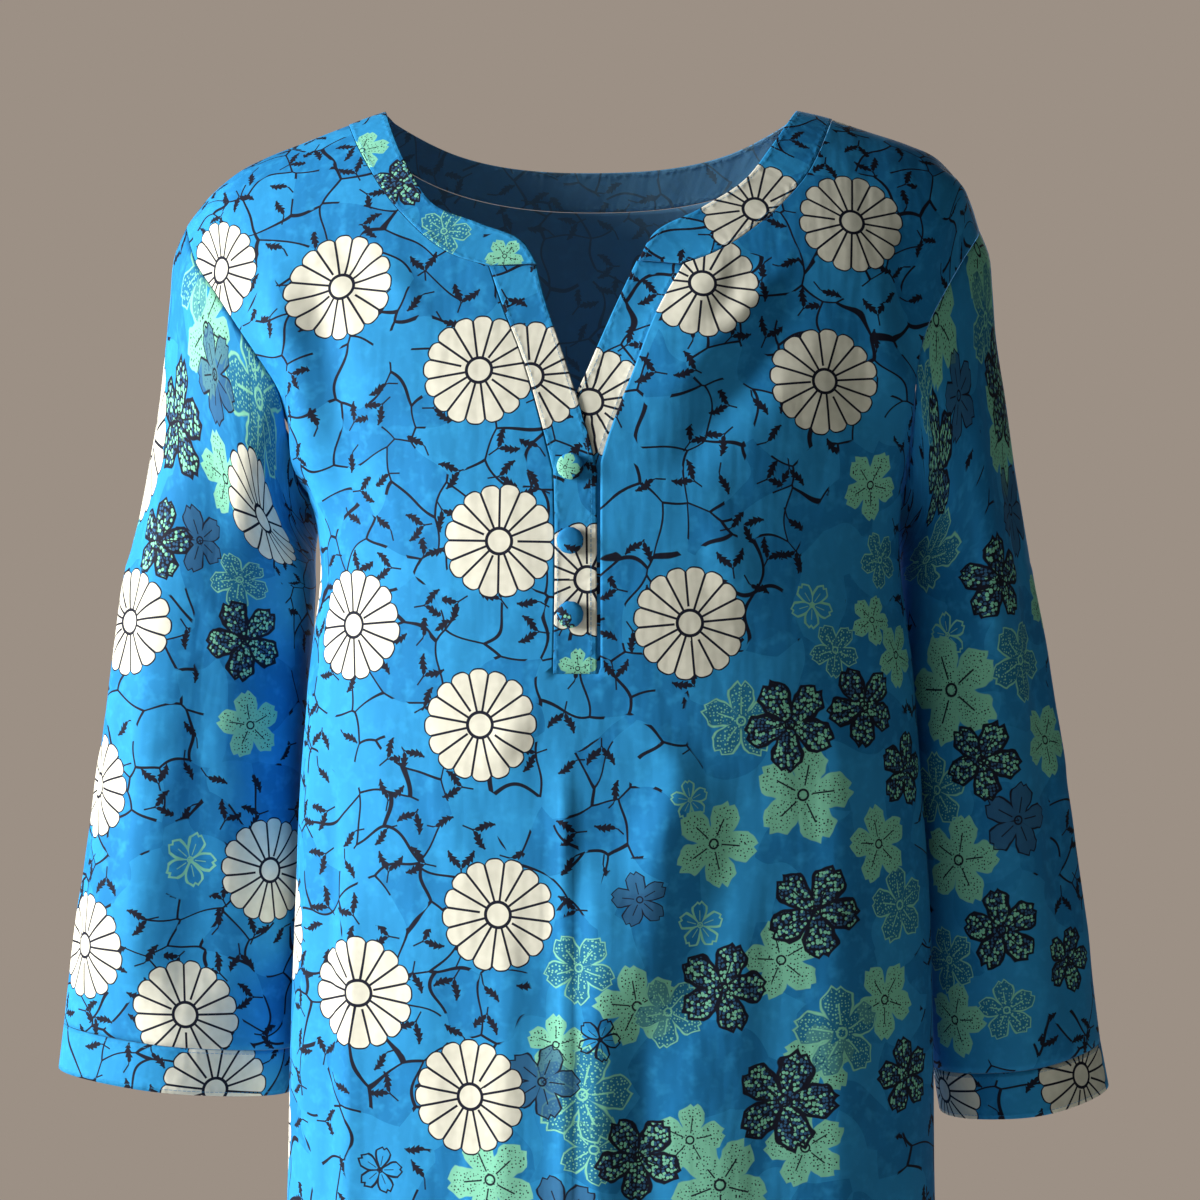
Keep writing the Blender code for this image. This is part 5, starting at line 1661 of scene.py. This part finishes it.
@dataclass
class Buttons:
    """Three small domed buttons covered in the dress cotton, sewn through the placket."""

    worn: Worn
    finish: bpy.types.Material
    across: float = -1.30 * CM
    heights: dict[str, float] = field(default_factory=lambda: {
        "top": -21.9 * CM, "middle": -26.0 * CM, "bottom": -30.1 * CM})
    outline: np.ndarray = field(default_factory=lambda: np.array([
        (6.0, 0.0), (6.9, 0.25), (7.4, 0.9), (7.5, 1.6), (7.2, 2.3), (6.4, 2.95), (4.8, 3.5),
        (2.4, 3.85), (0.35, 3.98)]) * MM)
    sides: int = 64
    steps: int = 22
    lift: float = 0.9 * MM
    crown: float = 4.0 * MM
    gathers: float = 11.0
    gather_depth: float = 0.012
    cloth_moves: Places = ((0.31, 0.18), (0.52, 0.44), (0.12, 0.63))
    flowers: Sequence[Optional[tuple[float, float, Bloom, float]]] = (
        (0.3, 0.1, MINT, 0.6), None, (0.55, 0.75, BLACK, 0.7))
    flower_radius: float = 9.0 * MM

    def axes(self, height: float) -> tuple[np.ndarray, ...]:
        """Where a button sits on the placket and how it is turned there.

        Args:
            height: of its middle, metres.

        Returns:
            Its place, and directions to the right, up and out.
        """
        step = 1.0 * MM
        spots = self.worn.form.to_chart([
            (self.across, height), (self.across + step, height), (self.across, height + step)])
        here, beside, above = self.worn.form.point(spots[:, 0], spots[:, 1], False,
                                                   (self.worn.main_folds,))
        right = (beside - here) / np.linalg.norm(beside - here)
        out = np.cross(right, above - here)
        out /= np.linalg.norm(out)
        return here, right, np.cross(out, right), out

    def print_on(self, mesh: bpy.types.Mesh, flat: np.ndarray, order: int) -> None:
        """Store the print on a button's cover.

        Args:
            mesh: the cover.
            flat: its points, rightwards and up from the button's middle.
            order: which button.
        """
        flower, blank = self.flowers[order], -np.ones((len(flat), 3))
        cloth = flat + self.cloth_moves[order]
        values = {"cloth": np.column_stack([cloth, np.zeros(len(flat))]), "stitch": -blank}
        values |= {key: blank for key in ("bloom_a", "bloom_b", "bloom_c", "rosette")}
        if flower is not None:
            x, y, kind, share = flower
            code = np.full(len(flat), share + kind.value)
            values["bloom_a"] = np.column_stack([flat / self.flower_radius + (x, y), code])
        for key, held in values.items():
            ClothPiece.write(mesh, key, "POINT", "FLOAT_VECTOR", held)

    def cover(self, name: str, order: int) -> bpy.types.Object:
        """Make one button.

        It is its outline turned round, with faint gathers of cloth near the rim whose depth
        follows the cosine of the turn times their number, closed by a point at foot and crown.

        Args:
            name: which button.
            order: its number from the top.

        Returns:
            The piece, in place of its CAD node.
        """
        here, right, upward, out = self.axes(self.heights[name])
        profile = along(self.outline, self.steps)
        turn = np.linspace(0, 2 * math.pi, self.sides, endpoint=False)
        rim = np.exp(-(((profile[:, 1] - 1.6 * MM) / (1.3 * MM)) ** 2))[:, None]
        gathers = 1 + np.cos(self.gathers * turn + order)
        radius = profile[:, :1] * (1 - self.gather_depth * rim * gathers)
        flat = np.stack([radius * np.cos(turn), radius * np.sin(turn)], axis=-1)
        points = (here + flat[..., :1] * right + flat[..., 1:] * upward
                  + (self.lift + profile[:, 1])[:, None, None] * out).reshape(-1, 3)
        poles = [here + self.lift * out, here + (self.lift + self.crown) * out]
        count, last = len(points), len(points) - self.sides
        foot = [(count, (k + 1) % self.sides, k) for k in range(self.sides)]
        crown = [(count + 1, last + k, last + (k + 1) % self.sides) for k in range(self.sides)]
        quads = grid_quads(len(profile), self.sides, ring=True).tolist()
        mesh = bpy.data.meshes.new(f"button_{name}_cover")
        mesh.from_pydata(np.vstack([points, poles]), [], quads + foot + crown)
        mesh.shade_smooth()
        mesh.materials.append(self.finish)
        self.print_on(mesh, np.vstack([flat.reshape(-1, 2), np.zeros((2, 2))]), order)
        button = bpy.data.objects.new(f"button_{name}_cover", mesh)
        bpy.context.scene.collection.objects.link(button)
        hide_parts(f"button_{name}")
        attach(button, "root")
        return button

    def build(self) -> list[bpy.types.Object]:
        """Make the three buttons, from the top down."""
        return [self.cover(name, order) for order, name in enumerate(self.heights)]


@dataclass
class PrintPlan:
    """Where the flowers of the print fall on each piece, charted one by one.

    Places on the front and the sleeves' fronts are front-view places. Those on the hidden sides
    are places on the cloth in cm. Rosettes all have one size, blossoms have their own.
    """

    rosette: float = 32.0 * MM
    bloom_size: float = 1.18
    front: Places = (
        (222, 270), (341, 287), (479, 370), (703, 283), (852, 222), (825, 381), (499, 541),
        (354, 625), (690, 623), (480, 725), (498, 915), (357, 993), (470, 1097), (286, 590),
        (288, 928),
        (292, 1120), (845, 130), (640, 1330), (300, 1360), (820, 1420), (450, 1480))
    front_blooms: Blooms = (
        (790, 724, 24, BLACK), (864, 706, 21, BLACK), (815, 911, 24, BLACK),
        (723, 988, 23, BLACK), (784, 1101, 26, BLACK), (638, 1157, 22, BLACK),
        (803, 795, 25, MINT), (714, 844, 22, MINT), (879, 844, 20, MINT),
        (637, 1006, 21, MINT), (781, 960, 20, MINT), (720, 1185, 25, MINT),
        (805, 1148, 20, MINT), (490, 1180, 23, MINT), (741, 721, 20, OUTLINE),
        (870, 770, 22, OUTLINE), (677, 923, 22, OUTLINE), (842, 1033, 24, OUTLINE),
        (714, 1085, 34, OUTLINE), (582, 1095, 25, OUTLINE), (579, 968, 18, OUTLINE),
        (643, 963, 17, SLATE), (677, 1088, 18, SLATE), (542, 1082, 19, SLATE),
        (775, 850, 17, SLATE), (860, 950, 18, SLATE), (737, 764, 12, SMALL),
        (797, 850, 12, SMALL), (798, 990, 12, SMALL), (735, 1157, 12, SMALL),
        (835, 650, 14, OUTLINE), (770, 660, 10, SMALL), (600, 1040, 11, SMALL),
        (850, 1100, 15, SLATE), (760, 1040, 15, OUTLINE), (690, 800, 10, SMALL),
        (880, 560, 15, OUTLINE), (872, 620, 13, MINT), (620, 1250, 20, OUTLINE),
        (560, 1180, 16, BLACK), (760, 1270, 24, BLACK), (690, 1300, 20, MINT),
        (850, 1250, 22, MINT), (520, 1290, 22, BLACK), (440, 1260, 20, OUTLINE),
        (380, 1170, 12, SMALL), (730, 1400, 22, OUTLINE), (600, 1440, 22, MINT),
        (380, 1440, 20, BLACK), (860, 1340, 20, SLATE), (540, 1380, 18, SLATE),
        (660, 1520, 22, BLACK), (760, 1540, 22, MINT), (340, 1260, 16, SLATE),
        (870, 485, 18, MINT), (845, 545, 18, OUTLINE), (895, 655, 17, MINT),
        (812, 605, 12, SMALL), (830, 765, 17, SLATE), (900, 905, 20, OUTLINE),
        (885, 1000, 20, MINT), (905, 1075, 20, BLACK), (852, 1170, 22, BLACK),
        (655, 1062, 19, MINT), (690, 1140, 18, MINT), (595, 1150, 18, OUTLINE),
        (760, 1190, 20, SLATE), (556, 1045, 15, MINT), (622, 945, 15, OUTLINE),
        (668, 1012, 18, OUTLINE), (833, 985, 20, MINT), (872, 925, 22, BLACK),
        (752, 925, 18, OUTLINE), (700, 925, 12, SMALL), (905, 770, 20, BLACK),
        (765, 805, 14, OUTLINE), (640, 900, 14, SLATE), (528, 1140, 16, MINT),
        (820, 1060, 18, MINT), (560, 1215, 20, SLATE), (700, 1225, 22, BLACK),
        (640, 1340, 20, OUTLINE), (480, 1340, 20, MINT), (800, 1320, 22, OUTLINE))
    back: Places = (
        (-15, -14), (-3, -12), (10, -15), (-9, -24), (4, -27), (16, -26), (-17, -37), (-5, -40),
        (8, -42), (-12, -53), (0, -56), (15, -50), (-19, -62), (-7, -70), (6, -74), (18, -68),
        (-14, -82), (1, -88), (12, -86))
    back_blooms: Blooms = (
        (-10, -34, 22, BLACK), (-2, -33, 20, MINT), (2, -48, 22, OUTLINE),
        (10, -33, 18, OUTLINE), (12, -58, 22, BLACK), (7, -64, 20, MINT),
        (-6, -62, 20, OUTLINE), (-13, -44, 17, SLATE), (-16, -73, 22, MINT),
        (0, -80, 20, BLACK), (-8, -79, 18, OUTLINE), (13, -78, 22, OUTLINE),
        (20, -80, 20, MINT), (-20, -90, 20, BLACK), (-7, -91, 22, MINT),
        (19, -91, 18, SLATE), (17, -40, 20, MINT), (-20, -50, 20, OUTLINE),
        (5, -18, 14, SLATE), (-19, -24, 18, BLACK), (19, -57, 16, SLATE))
    left: Places = (
        (130, 622), (195, 695), (100, 785), (85, 945), (185, 1015), (270, 870), (288, 985),
        (150, 440), (262, 520))
    left_blooms: Blooms = (
        (205, 330, 22, MINT), (215, 375, 17, SLATE), (180, 420, 22, BLACK),
        (245, 640, 22, BLACK), (258, 400, 30, OUTLINE), (240, 580, 17, OUTLINE),
        (205, 265, 20, OUTLINE), (225, 480, 18, MINT), (250, 725, 18, MINT),
        (160, 540, 18, BLACK), (190, 860, 15, SMALL), (270, 320, 15, SMALL),
        (200, 540, 16, SLATE), (135, 500, 14, OUTLINE))
    left_back: Places = ((-9, 6), (-13, 18), (-7, 29), (-14, 40))
    right_blooms: Blooms = (
        (975, 250, 24, MINT), (935, 320, 22, MINT), (1000, 430, 23, MINT),
        (950, 690, 30, MINT), (985, 320, 21, OUTLINE), (925, 560, 30, OUTLINE),
        (1000, 390, 21, BLACK), (940, 470, 24, BLACK), (1000, 580, 22, BLACK),
        (945, 635, 12, SMALL), (1010, 510, 18, SLATE), (960, 395, 15, SLATE),
        (1020, 660, 22, OUTLINE), (985, 760, 22, BLACK), (1045, 740, 20, MINT),
        (940, 790, 20, OUTLINE), (1020, 820, 20, SLATE), (960, 860, 24, MINT),
        (1000, 930, 22, BLACK), (950, 960, 18, OUTLINE), (1065, 960, 18, BLACK),
        (1040, 600, 18, MINT), (975, 640, 14, SMALL), (1010, 1010, 16, OUTLINE),
        (955, 1020, 20, MINT), (930, 400, 14, OUTLINE), (950, 210, 15, SLATE))
    arm_back: Blooms = (
        (-8, 8, 22, BLACK), (-13, 15, 20, MINT), (-6, 22, 20, OUTLINE),
        (-14, 27, 18, SLATE), (-9, 34, 22, MINT), (-4, 42, 18, BLACK),
        (-13, 44, 20, OUTLINE), (-4, 14, 14, SMALL), (-12, 3, 18, MINT),
        (-3, 31, 16, SLATE))

    def rosettes(self, places: Places, on_cloth: bool = False) -> list[Stamp]:
        """Stamps of rosettes.

        Args:
            places: across and up, front-view pixels, or cm on the cloth.
            on_cloth: whether they are on the cloth.

        Returns:
            One stamp per place.
        """
        unit = CM if on_cloth else 1.0
        return [Stamp(x * unit, y * unit, self.rosette, None, on_cloth) for x, y in places]

    def blooms(self, rows: Blooms, on_cloth: bool = False) -> list[Stamp]:
        """Stamps of blossoms.

        Args:
            rows: across and up as for rosettes, radius in mm before bloom_size, and kind.
            on_cloth: whether the places are on the cloth.

        Returns:
            One stamp per row.
        """
        unit = CM if on_cloth else 1.0
        return [Stamp(x * unit, y * unit, r * self.bloom_size * MM, kind, on_cloth)
                for x, y, r, kind in rows]

    def sleeve(self, side: Side) -> list[Stamp]:
        """Every flower of a sleeve.

        Args:
            side: which sleeve.

        Returns:
            Stamps of its front and then of its back.
        """
        if side is Side.LEFT:
            return (self.rosettes(self.left) + self.blooms(self.left_blooms)
                    + self.rosettes(self.left_back, True) + self.blooms(self.arm_back, True))
        return self.blooms(self.right_blooms) + self.blooms(self.arm_back, True)

    def cuff(self, side: Side) -> list[Stamp]:
        """Rosettes of a cuff."""
        return self.rosettes([(215, 1090)] if side is Side.LEFT else [(945, 1090), (1083, 1075)])

    def bands(self) -> dict[str, list[Stamp]]:
        """Flowers of the neck bands.

        Returns:
            Band's name to its stamps.
        """
        return {"left": self.blooms([(400, 185, 16, BLACK), (445, 232, 14, OUTLINE),
                                     (362, 150, 15, MINT), (505, 258, 10, MINT)]),
                "right": self.rosettes([(757, 208)]),
                "back": self.blooms([(-9, -3, 16, MINT), (8, -3, 15, BLACK)], True)}

    def plackets(self) -> dict[str, list[Stamp]]:
        """Flowers of the upper and the lower placket strip.

        Returns:
            Strip's name to its stamps.
        """
        return {"over": (self.rosettes([(530, 376), (587, 580)])
                         + self.blooms([(578, 668, 10, MINT)])),
                "under": self.rosettes([(588, 402)])}


@dataclass
class Studio:
    """Plain pale floor, soft window-like light from the front left and the photo's camera."""

    eye: Eye
    floor_height: float = -1.42
    floor_half: float = 2.9
    floor_colour: str = "#D6D2CB"
    room_colour: str = "#9C9085"
    room_glow: str = "#E0E4D8"
    room_light: float = 0.09
    target: tuple[float, float, float] = (0.0, -0.05, -0.45)
    lamps: Sequence[tuple[str, tuple[float, float, float], float, float, float, str]] = (
        ("window", (-2.7, -0.85, 0.30), 0.9, 1.5, 200.0, "#FFF8EE"),
        ("fill", (-0.4, -3.2, 0.8), 2.0, 2.0, 3.5, "#F4F4E6"),
        ("behind", (0.6, 3.0, 0.7), 2.0, 2.0, 60.0, "#F4F6FA"))

    def lamp(self, name: str, place: tuple[float, float, float], width: float, height: float,
             power: float, colour: str) -> None:
        """Add a soft rectangular lamp aimed at the dress.

        Args:
            name: its name.
            place: where it stands, metres.
            width: its width, metres.
            height: its height, metres.
            power: watts.
            colour: sRGB hex code.
        """
        light = bpy.data.lights.new(name, "AREA")
        light.shape, light.size, light.size_y = "RECTANGLE", width, height
        light.energy, light.color = power, srgb(colour)[:3]
        item = bpy.data.objects.new(name, light)
        item.location = place
        item.rotation_euler = (Vector(self.target) - item.location).to_track_quat(
            "-Z", "Y").to_euler()
        bpy.context.scene.collection.objects.link(item)

    def floor(self) -> None:
        """Lay the floor, small enough to end below the photo's frame."""
        # Matt painted floor: evenly pale, with no gloss.
        paint = bpy.data.materials.new("matt floor paint")
        paint.use_nodes = True
        shader = paint.node_tree.nodes["Principled BSDF"]
        shader.inputs["Base Color"].default_value = srgb(self.floor_colour)
        shader.inputs["Roughness"].default_value = 0.9
        half, height = self.floor_half, self.floor_height
        mesh = bpy.data.meshes.new("floor")
        mesh.from_pydata([(-half, -half, height), (half, -half, height), (half, half, height),
                          (-half, half, height)], [], [(0, 1, 2, 3)])
        mesh.materials.append(paint)
        item = bpy.data.objects.new("floor", mesh)
        bpy.context.scene.collection.objects.link(item)

    def room(self) -> None:
        """Surround the dress with a plain room.

        The camera sees the wall's even colour behind the dress, and the dress gets a weak glow
        from all sides.
        """
        world = bpy.data.worlds.new("room")
        world.use_nodes = True
        tree = world.node_tree
        seen = tree.nodes["Background"]
        seen.inputs["Color"].default_value = srgb(self.room_colour)
        lit = tree.nodes.new("ShaderNodeBackground")
        lit.inputs["Color"].default_value = srgb(self.room_glow)
        lit.inputs["Strength"].default_value = self.room_light
        path, mix = tree.nodes.new("ShaderNodeLightPath"), tree.nodes.new("ShaderNodeMixShader")
        tree.links.new(path.outputs["Is Camera Ray"], mix.inputs[0])
        tree.links.new(lit.outputs[0], mix.inputs[1])
        tree.links.new(seen.outputs[0], mix.inputs[2])
        tree.links.new(mix.outputs[0], tree.nodes["World Output"].inputs["Surface"])
        bpy.context.scene.world = world

    def build(self) -> None:
        """Set up floor, room, lamps and camera."""
        scene = bpy.context.scene
        scene.view_settings.view_transform = "Standard"
        self.floor()
        self.room()
        for row in self.lamps:
            self.lamp(*row)
        lens = bpy.data.cameras.new("camera")
        lens.lens, lens.sensor_width = self.eye.lens, 36.0
        camera = bpy.data.objects.new("camera", lens)
        camera.location = (self.eye.x, self.eye.y, self.eye.z)
        camera.rotation_euler = (math.pi / 2, 0.0, 0.0)
        scene.collection.objects.link(camera)
        scene.camera = camera


def main() -> None:
    """Build every piece of the dress and the studio, and report each."""
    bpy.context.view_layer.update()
    form = TorsoForm()
    # Poplin for the panels and sleeves: matt, with the whole print.
    cotton = PrintedCotton("printed cotton poplin").build()
    # The same poplin folded double and topstitched: rows of dashes with small gathers.
    band = PrintedCotton("printed cotton band", sewn=True).build()
    # The same poplin drawn tight over a button mould: a little smoother, so a faint highlight.
    covered = PrintedCotton("cotton covered button", roughness=0.75).finish(False, True)
    worn, plan = Worn(form, Seams(form), cotton, band), PrintPlan()
    front = FrontPanel(worn, plan.rosettes(plan.front) + plan.blooms(plan.front_blooms))
    back = BackPanel(worn, plan.rosettes(plan.back, True) + plan.blooms(plan.back_blooms, True))
    sleeves = [Sleeve(worn, side, plan.sleeve(side), plan.cuff(side)) for side in Side]
    for assembly in (front, back, NeckBands(worn, plan.bands()),
                     Plackets(worn, plan.plackets(), front.half(Side.RIGHT)), *sleeves,
                     Buttons(worn, covered)):
        for piece in assembly.build():
            LOG.info("%s: %d faces", piece.name, len(piece.data.polygons))
    Studio(Eye()).build()


if __name__ == "__main__":
    main()
